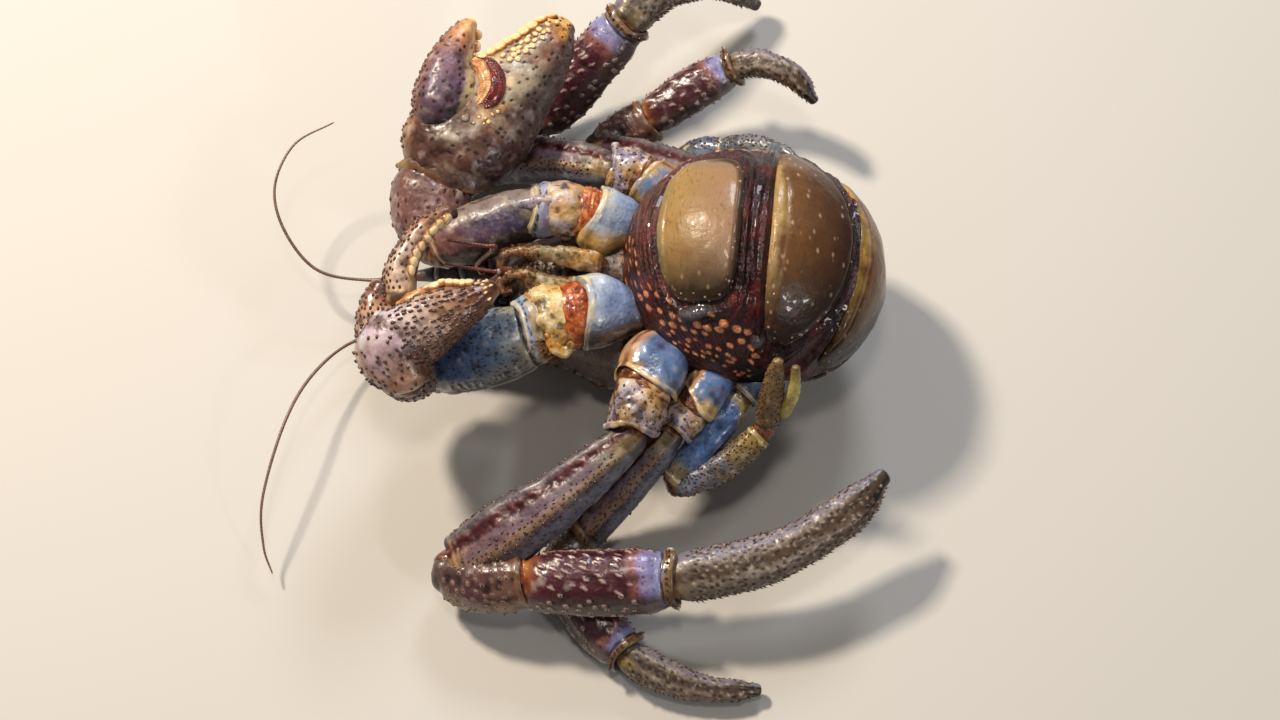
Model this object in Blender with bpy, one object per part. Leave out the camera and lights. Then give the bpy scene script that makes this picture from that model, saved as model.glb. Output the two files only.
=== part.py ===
"""Coconut crab (Birgus latro), a life-size still model lying on its back, claws folded over its head.

The body lies along X: the head points to -X and the abdomen is folded forward over the rear of the
sternum, so its plates face up. +Y is the animal's left, +Z points out of its belly, and the carapace
rests on the floor at z = 0. All sizes below are millimetres and become metres in the mesh.

Every shell segment is a loft through a few stations. A segment that is tucked into its neighbour's
socket is made first, and the neighbour is then hollowed round it, so no two pieces overlap.
"""

import math

import bmesh
import bpy
from mathutils import Matrix, Vector

# ---------------------------------------------------------------- driving dimensions
MM = 0.001
GAP = 0.35                      # clearance kept round every piece that sits in a socket
SHORT_EDGE = 0.02               # shorter edges, left by a cut, are merged away
TIP_BULGE, TIP_TAPER = 0.55, 0.6        # the last ring of a segment, as shares of its half sizes
FLOOR = 0.0                     # level of all the resting flats
UP = (0.0, -0.37, 0.93)         # direction that the broad side of most segments faces
OVER = 2000.0                   # size of the blocks that trim a piece to one side of a plane

CARAPACE = [                    # x, half width, lowest z, highest z
    (-66, 2.0, 16, 20), (-59, 9, 11, 26), (-52, 17, 7, 32), (-42, 22, 3.5, 38), (-28, 28, 1, 43),
    (-14, 35, -0.5, 46), (-2, 40, -1.2, 48), (12, 46, -1.5, 48), (28, 47, -1.5, 47), (42, 42, -0.5, 43),
    (52, 31, 4, 37), (57, 16, 11, 30),
]
CERVICAL_GROOVE_X = -3.0        # joint between the front shield and the parts behind it
CARDIAC_HALF_WIDTH = 11.0       # half width of the heart-shaped middle piece behind the groove

ABDOMEN_CENTRE = Vector((41.0, 0.0, 50.0))
ABDOMEN_RADII = (48.0, 44.2, 38.8)      # fore-and-aft, sideways, up and down
ABDOMEN_PITCH = math.radians(16)        # the front end is tipped up over the sternum
ABDOMEN_TWIST = math.radians(-6)        # and the whole sac leans a little to the right
FOLD_X, FOLD_Z = 54.0, 51.0             # the sac is cut away ahead of and below this corner
SAC_RINGS, SAC_SIDES = 12, 20
PLATE_LIFT = 1.2                # inner face of a plate over the sac: clears the sac's facets
PLATE_THICKNESS = 1.5

# tergites: angle of the front and rear edges over the sac (0 = front end, 90 = top, 180 = rear),
# sideways reach, and how far the edges sweep back at the sides; all in degrees
TERGITES = {
    "tergite_5": (30, 70, 39, 0, 0, 4),
    "tergite_4": (83, 124, 57, 0, -8, 3),
    "tergite_3": (128, 174, 54, 10, 0, 4),
    "tergite_2": (180, 222, 50, 6, 0, 4),
}

# Limbs, from the tip to the root. Each piece: sides, facing, stations (x, y, z, half width, half depth)
LIMBS = {
    "claw_left": {
        "dactyl": (10, UP, [(-75, 54, 62, 9.0, 12.0), (-74, 60, 64, 10.6, 14.0), (-72, 70, 67, 9.8, 12.5),
                            (-69, 79, 69, 7.6, 10.0), (-65, 88, 70, 4.2, 6.5), (-63, 91, 70, 2.4, 4.0)]),
        "palm": (14, UP, [(-75, 38, 49, 15.5, 14.0), (-70, 47, 52, 21.5, 17.0), (-63, 55, 54, 22.5, 18.0),
                          (-51, 68, 56, 18.5, 16.5), (-41, 80, 57, 14.0, 13.5), (-33, 91, 58, 9.5, 10.0),
                          (-29, 97, 58, 5.0, 6.0)]),
        "carpus": (10, UP, [(-74, 10, 44, 9.0, 11.0), (-77, 20, 45, 14.0, 14.5), (-78, 31, 47, 16.0, 15.5),
                            (-76, 38, 49, 13.5, 13.0)]),
        "merus": (10, UP, [(-34, 21, 56, 9.5, 11.5), (-50, 18, 53, 11.0, 12.5), (-66, 13, 49, 10.5, 12.0),
                           (-74, 11, 46, 8.0, 10.0)]),
        "base": (10, UP, [(2, 16, 51, 9.0, 9.0), (-9, 18, 55, 11.5, 11.5), (-19, 19, 57, 11.0, 11.5),
                          (-29, 20, 58, 11.8, 12.0), (-39, 20, 56, 9.5, 11.5)]),
    },
    "claw_right": {
        "dactyl": (10, UP, [(-85, -20, 69, 6.4, 9.0), (-85, -11, 71, 5.6, 9.0), (-82, -3, 73, 4.8, 8.0),
                            (-76, 5, 75, 4.0, 6.5), (-70, 9.5, 76, 2.8, 4.5), (-66, 10, 76, 1.8, 2.8)]),
        "palm": (14, UP, [(-82.5, -46, 60, 11.0, 10.5), (-87.5, -36, 66, 13.6, 13.3), (-77, -29.5, 69, 14.0, 13.5),
                          (-61, -23, 71, 7.6, 8.6), (-52, -18, 73, 3.0, 4.0)]),
        "carpus": (10, UP, [(-77, -31, 37, 10.0, 10.5), (-82.5, -36, 42, 11.5, 11.5),
                            (-85.5, -41, 50, 10.5, 10.5), (-83.5, -44.5, 57, 8.0, 8.5)]),
        "merus": (10, UP, [(-36, -24, 49, 11.5, 10.5), (-51, -28, 45, 13.8, 12.5), (-68, -32, 41, 12.6, 12.0),
                           (-77, -33, 38, 10.0, 10.5)]),
        "base": (10, UP, [(0, -16, 50, 9.5, 9.0), (-12, -18.5, 53, 14.2, 12.5), (-23, -20, 54, 13.6, 12.0),
                          (-33, -22, 52, 14.4, 13.0), (-42, -25, 49, 12.0, 11.0)]),
    },
    "leg_2_right": {
        "dactyl": (10, UP, [(12, -111, 28, 9.0, 6.5), (33, -108, 30, 9.4, 7.0), (54, -101, 32, 8.4, 6.2),
                            (75, -88, 35, 7.6, 5.4), (87, -76, 37, 5.2, 4.0)]),
        "propodus": (10, UP, [(-42, -111, 25, 9.0, 6.5), (-30, -112, 26, 11.2, 8.0), (0, -112, 27, 11.5, 8.2),
                              (12, -111, 28, 10.5, 7.4)]),
        "carpus": (10, UP, [(-70, -106, 17, 8.5, 7.5), (-55, -111, 21, 10.5, 8.6), (-41, -111, 25, 9.5, 8.0)]),
        "merus": (10, UP, [(-5, -66, 46, 7.0, 6.5), (-24, -80, 39, 9.4, 7.6), (-47, -94, 29, 12.4, 8.6),
                           (-65, -103, 18, 11.6, 8.4)]),
        "base": (10, UP, [(12, -27, 47, 9.5, 8.0), (6, -36, 50, 13.2, 11.0), (1, -50, 52, 12.2, 10.5),
                          (-3, -62, 48, 9.6, 8.8)]),
    },
    "leg_3_right": {
        "dactyl": (8, UP, [(-5, -134, 10, 6.0, 5.0), (7, -141, 9, 6.4, 5.0), (24, -146, 7, 4.8, 4.2),
                           (42, -146, 5, 3.4, 3.0)]),
        "propodus": (8, UP, [(-26, -112, 11, 7.4, 6.4), (-15, -124, 10, 9.0, 7.4), (-5, -133, 10, 8.2, 6.8)]),
        "carpus": (8, UP, [(-22, -92, 13, 7.2, 6.6), (-27, -101, 12, 8.2, 7.2), (-27, -110, 11, 7.6, 6.6)]),
        "merus": (8, UP, [(9, -62, 39, 6.4, 6.0), (-7, -77, 27, 8.4, 7.0), (-21, -89, 15, 8.4, 7.0)]),
        "base": (8, UP, [(30, -34, 44, 7.0, 7.0), (24, -46, 46, 8.2, 8.0), (12, -60, 41, 7.4, 7.0)]),
    },
    "leg_4_right": {
        "dactyl": (8, UP, [(51, -56.5, 49, 2.6, 2.6), (54, -52.5, 60, 2.4, 2.4), (54.5, -46.5, 69, 1.6, 1.6)]),
        "palm": (8, UP, [(45.5, -58.5, 43, 4.4, 4.2), (46.2, -54.5, 51, 4.6, 4.2), (46.8, -51, 58, 4.2, 3.8),
                         (47.4, -47.6, 65, 3.2, 3.0), (48.2, -44.8, 71, 2.0, 1.8)]),
        "carpus": (8, UP, [(14, -77, 28, 4.6, 4.4), (30, -71, 34, 5.4, 5.0), (43, -61.5, 41, 4.8, 4.6)]),
        "merus": (8, UP, [(37, -48, 43, 5.4, 5.0), (24, -62, 36, 6.2, 5.8), (12, -74, 28, 5.6, 5.2)]),
        "base": (8, UP, [(48, -33, 42, 5.4, 5.4), (43, -42, 44, 6.4, 6.0), (38, -47, 43, 5.6, 5.4)]),
    },
    "leg_2_left": {
        "dactyl": (10, UP, [(-5, 110, 42, 8.6, 6.6), (8, 124, 43, 9.2, 7.0), (24, 134, 34, 8.2, 6.4),
                            (38, 138, 22, 6.8, 5.4), (47, 137, 10, 4.4, 4.0)]),
        "propodus": (10, UP, [(-42, 79, 15, 8.4, 7.0), (-32, 86, 20, 10.0, 8.0), (-16, 100, 32, 10.4, 8.0),
                              (-5, 110, 41, 9.4, 7.4)]),
        "carpus": (10, UP, [(-80, 68, 12, 8.0, 7.2), (-62, 74, 12, 10.2, 8.6), (-43, 78, 14, 9.6, 8.0)]),
        "merus": (10, UP, [(-11, 42, 48, 7.4, 7.0), (-34, 52, 36, 8.8, 7.8), (-58, 60, 22, 10.0, 8.4),
                           (-77, 66, 13, 10.0, 8.2)]),
        "base": (10, UP, [(18, 27, 46, 8.0, 7.5), (8, 34, 48, 10.5, 9.5), (-2, 39, 49, 10.5, 9.5),
                          (-10, 42, 48, 8.8, 8.5)]),
    },
    "leg_3_left": {
        "dactyl": (8, UP, [(36, 94, 34, 5.4, 4.8), (47, 93, 38, 5.6, 4.8), (59, 87, 39, 4.6, 4.0),
                           (67, 79, 35, 3.2, 2.8)]),
        "propodus": (8, UP, [(3, 77, 22, 7.0, 6.2), (18, 85, 28, 8.4, 7.0), (36, 94, 34, 7.6, 6.4)]),
        "carpus": (8, UP, [(-16, 69, 15, 6.2, 5.8), (-7, 73, 18, 8.0, 7.0), (3, 77, 22, 8.6, 7.0)]),
        "merus": (8, UP, [(22, 41, 45, 7.0, 6.6), (3, 54, 31, 7.8, 6.8), (-14, 66, 16, 7.4, 6.4)]),
        "base": (8, UP, [(34, 27, 43, 7.0, 7.0), (29, 34, 46, 8.2, 8.0), (23, 40, 45, 7.8, 7.4)]),
    },
    "leg_4_left": {
        "dactyl": (8, UP, [(49, 53, 41, 2.6, 2.6), (54, 51, 46, 2.6, 2.4), (58, 46, 48, 1.8, 1.8)]),
        "palm": (8, UP, [(31, 58, 32, 4.6, 4.2), (40, 57, 36, 5.4, 5.0), (49, 54, 40, 4.4, 4.2),
                         (55, 51, 40, 2.6, 2.6), (60, 47, 43, 1.8, 1.8)]),
        "carpus": (8, UP, [(18, 59, 27, 4.8, 4.4), (25, 59, 30, 5.6, 5.2), (32, 58, 32, 5.0, 4.8)]),
        "merus": (8, UP, [(40, 38, 45, 5.4, 5.2), (29, 48, 36, 6.2, 5.8), (18, 57, 28, 5.6, 5.2)]),
        "base": (8, UP, [(50, 25, 42, 5.4, 5.4), (46, 31, 44, 6.4, 6.0), (41, 37, 45, 5.8, 5.6)]),
    },
}

# Small parts of the head: sides, facing, stations
HEAD = {
    "antennule_left": (6, UP, [(-52, 4, 32, 1.8, 1.8), (-60, 3, 46, 1.4, 1.4), (-52, 1, 66, 1.2, 1.2),
                               (-56, 1.4, 67, 0.9, 0.9), (-69, 3, 68, 0.6, 0.6)]),
    "antennule_right": (6, UP, [(-52, -4, 32, 1.8, 1.8), (-56, -5, 46, 1.4, 1.4), (-50, -6, 60, 1.2, 1.2),
                                (-54, -5.8, 61, 0.9, 0.9), (-70, -4, 63, 0.6, 0.6)]),
    "eye_left": (8, UP, [(-42, 2.5, 31, 2.8, 2.6), (-47, 2.8, 32, 3.0, 2.8), (-51, 3, 33, 3.4, 3.2),
                         (-54, 3.2, 33, 2.6, 2.4)]),
    "eye_right": (8, UP, [(-42, -5.5, 31, 2.8, 2.6), (-47, -5.8, 32, 3.0, 2.8), (-51, -6, 33, 3.4, 3.2),
                          (-54, -6.2, 33, 2.6, 2.4)]),
    "maxilliped_left": (8, UP, [(-15, -1, 57, 4.2, 4.0), (-25, 0, 60, 4.4, 4.0), (-33, 0.5, 62, 3.6, 3.4),
                                (-41, 1, 62, 2.6, 2.6), (-48, 0.5, 59, 1.6, 1.6)]),
    "maxilliped_right": (8, UP, [(-17, -10, 54, 4.2, 3.8), (-28, -9, 55, 4.2, 3.8), (-37, -7.5, 57, 3.2, 3.0),
                                 (-45, -6, 57, 2.4, 2.4), (-50, -6, 53, 1.6, 1.6)]),
}
ANTENNAE = {
    "antenna_left": [(-46, 12, 27, 5.0, 4.6), (-58, 11, 28, 4.8, 4.4), (-72, 9, 27, 4.0, 3.6),
                     (-84, 9, 24, 2.4, 2.2), (-104, 9, 20, 0.9, 0.9), (-123, 12, 23, 0.85, 0.85),
                     (-135, 25, 30, 0.8, 0.8), (-139, 41, 35, 0.7, 0.7), (-132, 57, 39, 0.6, 0.6),
                     (-117, 65, 42, 0.4, 0.4)],
    "antenna_right": [(-46, -12, 27, 5.0, 4.6), (-58, -12, 27, 4.8, 4.4), (-72, -13, 24, 4.0, 3.6),
                      (-88, -13, 20, 2.4, 2.2), (-108, -14, 15, 0.9, 0.9), (-122, -29, 20, 0.85, 0.85),
                      (-131, -50, 24, 0.8, 0.8), (-138, -78, 20, 0.7, 0.7), (-138, -94, 12, 0.6, 0.6),
                      (-135, -103, 7, 0.4, 0.4)],
}
MOUTH = [(-43, 0, 40, 7.0, 6.0), (-34, 0, 43, 9.5, 8.0), (-22, 0, 47, 8.0, 7.0)]
STERNUM = [(-22, 0, 50, 8.0, 5.0), (-6, 0, 51, 9.0, 6.0), (14, 0, 51, 12.0, 6.0), (34, 0, 49, 15.0, 6.0),
           (47, 0, 46, 11.0, 4.5)]
TAIL_FAN = [(-1, 0, 58.5, 7.0, 1.4), (8, 0, 58.5, 11.0, 2.0), (20, 0, 58.5, 12.0, 2.2), (31, 0, 58, 9.0, 1.8)]

# colour (linear), roughness
FINISHES = {
    "claw": ((0.36, 0.24, 0.25), 0.45),
    "leg": ((0.20, 0.14, 0.20), 0.40),
    "base": ((0.50, 0.42, 0.28), 0.50),
    "carapace": ((0.16, 0.12, 0.17), 0.35),
    "feeler": ((0.14, 0.05, 0.03), 0.50),
    "eye": ((0.01, 0.01, 0.01), 0.10),
    "abdomen": ((0.05, 0.02, 0.02), 0.25),
    "plate": ((0.33, 0.24, 0.13), 0.20),
}


# ---------------------------------------------------------------- making shapes
def clear_scene():
    """Start from an empty scene."""
    for obj in list(bpy.data.objects):
        bpy.data.objects.remove(obj, do_unlink=True)


def finish(name):
    """Return the material of one kind of shell, made on first use."""
    material = bpy.data.materials.get(name)
    if material is None:
        colour, roughness = FINISHES[name]
        material = bpy.data.materials.new(name)
        material.use_nodes = True
        shader = material.node_tree.nodes["Principled BSDF"]
        shader.inputs["Base Color"].default_value = (*colour, 1.0)
        shader.inputs["Roughness"].default_value = roughness
        shader.inputs["Metallic"].default_value = 0.0
    return material


def make_object(name, shape):
    """Turn a bmesh in millimetres into an object in metres."""
    bmesh.ops.scale(shape, vec=Vector((MM, MM, MM)), verts=shape.verts)
    bmesh.ops.recalc_face_normals(shape, faces=shape.faces)
    mesh = bpy.data.meshes.new(name)
    shape.to_mesh(mesh)
    shape.free()
    obj = bpy.data.objects.new(name, mesh)
    bpy.context.collection.objects.link(obj)
    return obj


def spline(stations, steps):
    """Read steps + 1 stations from each span of a smooth curve through the given ones."""
    rows = [Vector(station) for station in stations]
    rows = [rows[0] * 2 - rows[1], *rows, rows[-1] * 2 - rows[-2]]
    curve = []
    for index in range(1, len(rows) - 2):
        before, start, end, after = rows[index - 1:index + 3]
        for step in range(steps):
            t = step / steps
            curve.append(0.5 * (start * 2 + (end - before) * t
                                + (before * 2 - start * 5 + end * 4 - after) * t ** 2
                                + (start * 3 - before - end * 3 + after) * t ** 3))
    curve.append(rows[-2])
    return curve


def oval(centre, across, deep, sides, squareness=2.4):
    """Points of a rounded section round a centre."""
    points = []
    for side in range(sides):
        angle = math.tau * (side + 0.5) / sides
        cosine, sine = math.cos(angle), math.sin(angle)
        points.append(centre + across * math.copysign(abs(cosine) ** (2 / squareness), cosine)
                      + deep * math.copysign(abs(sine) ** (2 / squareness), sine))
    return points


def skin_rings(rings):
    """Close a stack of equal rings into one body; triangles keep a piece and its cutter parallel."""
    shape = bmesh.new()
    loops = [[shape.verts.new(point) for point in ring] for ring in rings]
    for lower, upper in zip(loops, loops[1:]):
        for side in range(len(lower)):
            beyond = (side + 1) % len(lower)
            shape.faces.new((lower[side], lower[beyond], upper[beyond]))
            shape.faces.new((lower[side], upper[beyond], upper[side]))
    shape.faces.new(reversed(loops[0]))
    shape.faces.new(loops[-1])
    return shape


def loft(sides, facing, stations, steps=1, grow=0.0):
    """Loft a shell segment through stations of (x, y, z, half width, half depth), with a rounded tip."""
    rows = spline(stations, steps)
    centres = [Vector(row[:3]) for row in rows]
    rings = []
    last = len(rows) - 1
    for index, row in enumerate(rows):
        ahead = centres[min(index + 1, last)] - centres[max(index - 1, 0)]
        tangent = ahead.normalized()
        side_axis = Vector(facing).cross(tangent).normalized()
        deep_axis = tangent.cross(side_axis)
        across, deep = side_axis * (row[3] + grow), deep_axis * (row[4] + grow)
        root_end = tangent * grow if index == 0 else Vector()
        rings.append(oval(centres[index] - root_end, across, deep, sides))
    bulge = tangent * (TIP_BULGE * min(row[3], row[4]) + grow)
    rings.append(oval(centres[last] + bulge, across * TIP_TAPER, deep * TIP_TAPER, sides))
    return skin_rings(rings)


def carapace(grow=0.0):
    """The whole back shell, before the groove and seams part it."""
    rings = []
    for index, (x, half_width, low, high) in enumerate(CARAPACE):
        end = {0: -grow, len(CARAPACE) - 1: grow}.get(index, 0.0)
        centre = Vector((x + end, 0.0, (low + high) / 2))
        rings.append(oval(centre, Vector((0, half_width + grow, 0)),
                          Vector((0, 0, (high - low) / 2 + grow)), 14, 2.5))
    return skin_rings(rings)


def trim(shape, point, normal):
    """Cut a shape by a plane, keep the side that the normal points to, and close the cut."""
    geometry = shape.verts[:] + shape.edges[:] + shape.faces[:]
    cut = bmesh.ops.bisect_plane(shape, geom=geometry, plane_co=Vector(point), plane_no=Vector(normal),
                                 clear_inner=True, dist=0.001)
    rim = [item for item in cut["geom_cut"] if isinstance(item, bmesh.types.BMEdge)]
    if rim:
        bmesh.ops.triangle_fill(shape, edges=rim, use_beauty=True, use_dissolve=False)
    return shape


def sac_point(angle, reach, height):
    """A point over the abdomen: angle from the front end over the top, reach to the left."""
    along, side = math.radians(angle), math.radians(reach)
    length, width, depth = (radius + height for radius in ABDOMEN_RADII)
    local = Vector((-length * math.cos(along) * math.cos(side), width * math.sin(side),
                    depth * math.sin(along) * math.cos(side)))
    turn = Matrix.Rotation(ABDOMEN_TWIST, 3, "Z") @ Matrix.Rotation(ABDOMEN_PITCH, 3, "Y")
    return ABDOMEN_CENTRE + turn @ local


def plate(front, rear, reach, front_sweep, rear_sweep, corner, rows=4, columns=7):
    """A curved shell plate that lies just over the abdomen."""
    layers = []
    for height in (PLATE_LIFT, PLATE_LIFT + PLATE_THICKNESS):
        layer = []
        for column in range(columns + 1):
            side = -1 + 2 * column / columns
            side = math.sin(side * math.pi / 2) * 0.995
            first = front + front_sweep * side ** 2
            final = rear + rear_sweep * side ** 2
            middle, half = (first + final) / 2, (final - first) / 2
            half *= (1 - abs(side) ** corner) ** (1 / corner)
            layer.append([sac_point(middle + half * (2 * row / rows - 1), reach * side, height)
                          for row in range(rows + 1)])
        layers.append(layer)
    shape = bmesh.new()
    grids = [[[shape.verts.new(point) for point in line] for line in layer] for layer in layers]
    inner, outer = grids
    for column in range(columns):
        for row in range(rows):
            for grid in grids:
                shape.faces.new((grid[column][row], grid[column + 1][row],
                                 grid[column + 1][row + 1], grid[column][row + 1]))
        for row in (0, rows):
            shape.faces.new((inner[column][row], inner[column + 1][row],
                             outer[column + 1][row], outer[column][row]))
    for column in (0, columns):
        for row in range(rows):
            shape.faces.new((inner[column][row], inner[column][row + 1],
                             outer[column][row + 1], outer[column][row]))
    return shape


def sac():
    """The soft abdomen: an ellipsoid, open below in front where it lies over the sternum."""
    rings = []
    for step in range(1, SAC_RINGS):
        reach = -90 + 180 * step / SAC_RINGS
        rings.append([sac_point(360 * side / SAC_SIDES, reach, 0.0) for side in range(SAC_SIDES)])
    return skin_rings(rings)


# ---------------------------------------------------------------- fitting pieces to each other
def boxes_meet(first, second):
    """Say whether two objects' boxes touch."""
    for axis in range(3):
        spans = [[corner[axis] for corner in obj.bound_box] for obj in (first, second)]
        if min(spans[0]) > max(spans[1]) or min(spans[1]) > max(spans[0]):
            return False
    return True


def is_closed(shape):
    """Say whether every edge joins exactly two faces."""
    return all(len(edge.link_faces) == 2 for edge in shape.edges)


def body_of(vertex, seen):
    """All vertices joined to one vertex."""
    body, waiting = [], [vertex]
    seen.add(vertex)
    while waiting:
        here = waiting.pop()
        body.append(here)
        for edge in here.link_edges:
            there = edge.other_vert(here)
            if there not in seen:
                seen.add(there)
                waiting.append(there)
    return body


def tidy_cut(mesh):
    """Drop the loose scraps of a cut mesh, merge its shortest edges, and say whether it is closed."""
    shape = bmesh.new()
    shape.from_mesh(mesh)
    seen, bodies = set(), []
    for vertex in shape.verts:
        if vertex not in seen:
            bodies.append(body_of(vertex, seen))
    bodies.sort(key=len)
    for body in bodies[:-1]:
        bmesh.ops.delete(shape, geom=body, context="VERTS")
    closed = False
    for short_edge in (SHORT_EDGE * MM, 0.0):
        if not closed:
            tidied = shape.copy()
            if short_edge:
                bmesh.ops.remove_doubles(tidied, verts=tidied.verts, dist=short_edge)
                bmesh.ops.dissolve_degenerate(tidied, dist=short_edge, edges=tidied.edges)
            bmesh.ops.triangulate(tidied, faces=tidied.faces)
            closed = is_closed(tidied)
            tidied.to_mesh(mesh)
            tidied.free()
    shape.free()
    return closed


def carve(obj, cutters):
    """Hollow a piece round every cutter that reaches it."""
    reaching = [cutter for cutter in cutters if boxes_meet(obj, cutter)]
    for solver in ("EXACT", "MANIFOLD"):
        for cutter in reaching:
            cut = obj.modifiers.new("socket", "BOOLEAN")
            cut.operation = "DIFFERENCE"
            cut.solver = solver
            cut.object = cutter
        depsgraph = bpy.context.evaluated_depsgraph_get()
        mesh = bpy.data.meshes.new_from_object(obj.evaluated_get(depsgraph))
        obj.modifiers.clear()
        if tidy_cut(mesh):
            break
    obj.data = mesh


def place(name, kind, shape, holder, cutters):
    """Cut a new piece to its neighbours and to the floor, and hang it on the holder."""
    obj = make_object(name, trim(shape, (0, 0, FLOOR), (0, 0, 1)))
    carve(obj, cutters)
    obj.data.materials.clear()
    obj.data.materials.append(finish(kind))
    for face in obj.data.polygons:
        face.use_smooth = True
    obj.data.set_sharp_from_angle(angle=math.radians(40))
    obj.parent = holder
    return obj


def place_lofts(pieces, kind, holder, cutters, steps=1):
    """Place lofted pieces one after the other; each one becomes a cutter for those that follow."""
    for name, (sides, facing, stations) in pieces.items():
        place(name, kind, loft(sides, facing, stations, steps), holder, cutters)
        cutters.append(make_object("cutter", loft(sides, facing, stations, steps, GAP)))


# ---------------------------------------------------------------- the animal
def add_limbs(holder, cutters):
    """Two claws and three pairs of walking legs, tips first."""
    for limb, segments in LIMBS.items():
        for segment, definition in segments.items():
            kind = "base" if segment == "base" else limb.split("_")[0]
            place_lofts({f"{limb}_{segment}": definition}, kind, holder, cutters)


def add_head(holder, cutters):
    """Mouthparts, eyes and feelers."""
    place_lofts(HEAD, "feeler", holder, cutters)
    for name in ("eye_left", "eye_right"):
        bpy.data.objects[name].data.materials[0] = finish("eye")
    antennae = {name: (5, UP, stations) for name, stations in ANTENNAE.items()}
    place_lofts(antennae, "feeler", holder, cutters, steps=2)
    place_lofts({"mouth": (8, UP, MOUTH), "sternum": (8, (0, 0, 1), STERNUM)}, "base", holder, cutters)


def add_carapace(holder, cutters):
    """The back shell in four pieces, parted along the cervical groove and beside the heart region."""
    half_gap = GAP / 2
    groove_front = ((CERVICAL_GROOVE_X - half_gap, 0, 0), (-1, 0, 0))
    groove_rear = ((CERVICAL_GROOVE_X + half_gap, 0, 0), (1, 0, 0))
    pieces = {
        "shield": [groove_front],
        "cardiac": [groove_rear, ((0, CARDIAC_HALF_WIDTH - half_gap, 0), (0, -1, 0)),
                    ((0, half_gap - CARDIAC_HALF_WIDTH, 0), (0, 1, 0))],
        "branchial_left": [groove_rear, ((0, CARDIAC_HALF_WIDTH + half_gap, 0), (0, 1, 0))],
        "branchial_right": [groove_rear, ((0, -CARDIAC_HALF_WIDTH - half_gap, 0), (0, -1, 0))],
    }
    for name, planes in pieces.items():
        shape = carapace()
        for point, normal in planes:
            trim(shape, point, normal)
        place(name, "carapace", shape, holder, cutters)
    cutters.append(make_object("cutter", carapace(GAP)))


def add_abdomen(holder, cutters):
    """The sac and the plates over it."""
    for name, angles in TERGITES.items():
        place(name, "plate", plate(*angles), holder, cutters)
    place_lofts({"tail_fan": (12, (0, 0, 1), TAIL_FAN)}, "plate", holder, cutters)
    fold = bmesh.new()
    bmesh.ops.create_cube(fold, size=OVER)
    bmesh.ops.translate(fold, verts=fold.verts, vec=Vector((FOLD_X - OVER / 2, 0, FOLD_Z - OVER / 2)))
    cutters.insert(0, make_object("cutter", fold))
    place("abdomen", "abdomen", sac(), holder, cutters)


def centre_on_origin(holder):
    """Move the whole animal so that the middle of its box's underside is at the origin."""
    bpy.context.view_layer.update()
    corners = [piece.matrix_world @ Vector(corner) for piece in holder.children for corner in piece.bound_box]
    lows = [min(corner[axis] for corner in corners) for axis in range(3)]
    highs = [max(corner[axis] for corner in corners) for axis in range(3)]
    holder.location = (-(lows[0] + highs[0]) / 2, -(lows[1] + highs[1]) / 2, -lows[2])


clear_scene()
crab = bpy.data.objects.new("crab", None)
bpy.context.collection.objects.link(crab)
sockets = []
add_limbs(crab, sockets)
add_head(crab, sockets)
add_carapace(crab, sockets)
add_abdomen(crab, sockets)
for cutter_object in sockets:
    bpy.data.objects.remove(cutter_object, do_unlink=True)
centre_on_origin(crab)
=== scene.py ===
import math

import bmesh
import bpy
import numpy as np
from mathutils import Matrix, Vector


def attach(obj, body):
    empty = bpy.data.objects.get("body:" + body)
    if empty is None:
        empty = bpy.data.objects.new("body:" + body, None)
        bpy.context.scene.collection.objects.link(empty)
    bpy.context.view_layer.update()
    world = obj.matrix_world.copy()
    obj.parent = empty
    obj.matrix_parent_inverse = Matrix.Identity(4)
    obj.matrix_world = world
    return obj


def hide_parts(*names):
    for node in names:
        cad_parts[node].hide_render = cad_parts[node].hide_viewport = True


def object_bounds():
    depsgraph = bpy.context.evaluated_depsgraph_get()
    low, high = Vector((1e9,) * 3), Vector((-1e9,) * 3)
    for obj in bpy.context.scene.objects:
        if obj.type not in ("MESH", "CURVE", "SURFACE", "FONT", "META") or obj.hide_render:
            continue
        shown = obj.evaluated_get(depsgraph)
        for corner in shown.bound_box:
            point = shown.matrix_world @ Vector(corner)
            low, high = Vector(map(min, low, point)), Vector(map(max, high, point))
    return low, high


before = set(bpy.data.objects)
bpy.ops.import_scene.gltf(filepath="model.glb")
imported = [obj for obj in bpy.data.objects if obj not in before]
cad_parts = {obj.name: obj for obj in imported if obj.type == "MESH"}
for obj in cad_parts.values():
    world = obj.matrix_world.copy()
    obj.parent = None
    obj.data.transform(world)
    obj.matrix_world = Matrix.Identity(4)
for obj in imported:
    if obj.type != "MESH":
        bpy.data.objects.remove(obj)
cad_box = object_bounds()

MM = 0.001
TAU = math.tau
CRAB_ORIGIN = np.array([24.421, 3.047, 0.0])    # from the body's own origin to the frame's, mm
UP = (0.0, -0.37, 0.93)                         # where the broad side of most segments faces
SKIN_SHARE = 0.97                               # of the solids' half widths; the rest is room for scales
WEAR_AND_SHADE_SPREAD, WEAR_AND_SHADE_DEPTH = 1.6, 0.22             # mm round a spot, and mm above it, that wear it bright with a painted highlight; hollows get dirt and painted shade
CHITIN_IOR = 1.56
skins = {}                                      # each node's skin, for the bristles that grow on it


def waves(points, size, seed):
    """Smooth noise between -1 and 1 with lumps about `size` millimetres across."""
    cell = points / size + seed * 17.31
    corner_of = np.floor(cell).astype(np.int64)
    part = cell - corner_of
    part = part * part * (3 - 2 * part)
    total = 0.0
    for corner in range(8):
        step = np.array([corner & 1, corner >> 1 & 1, corner >> 2 & 1])
        x, y, z = np.moveaxis(corner_of + step, -1, 0)
        mixed = x * 73856093 ^ y * 19349663 ^ z * 83492791 ^ seed * 2654435
        mixed = ((mixed ^ mixed >> 13) * 1274126177 ^ mixed >> 7) & 0xFFFF
        total = total + (mixed / 32767.5 - 1) * np.prod(np.where(step, part, 1 - part), axis=-1)
    return total


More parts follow.
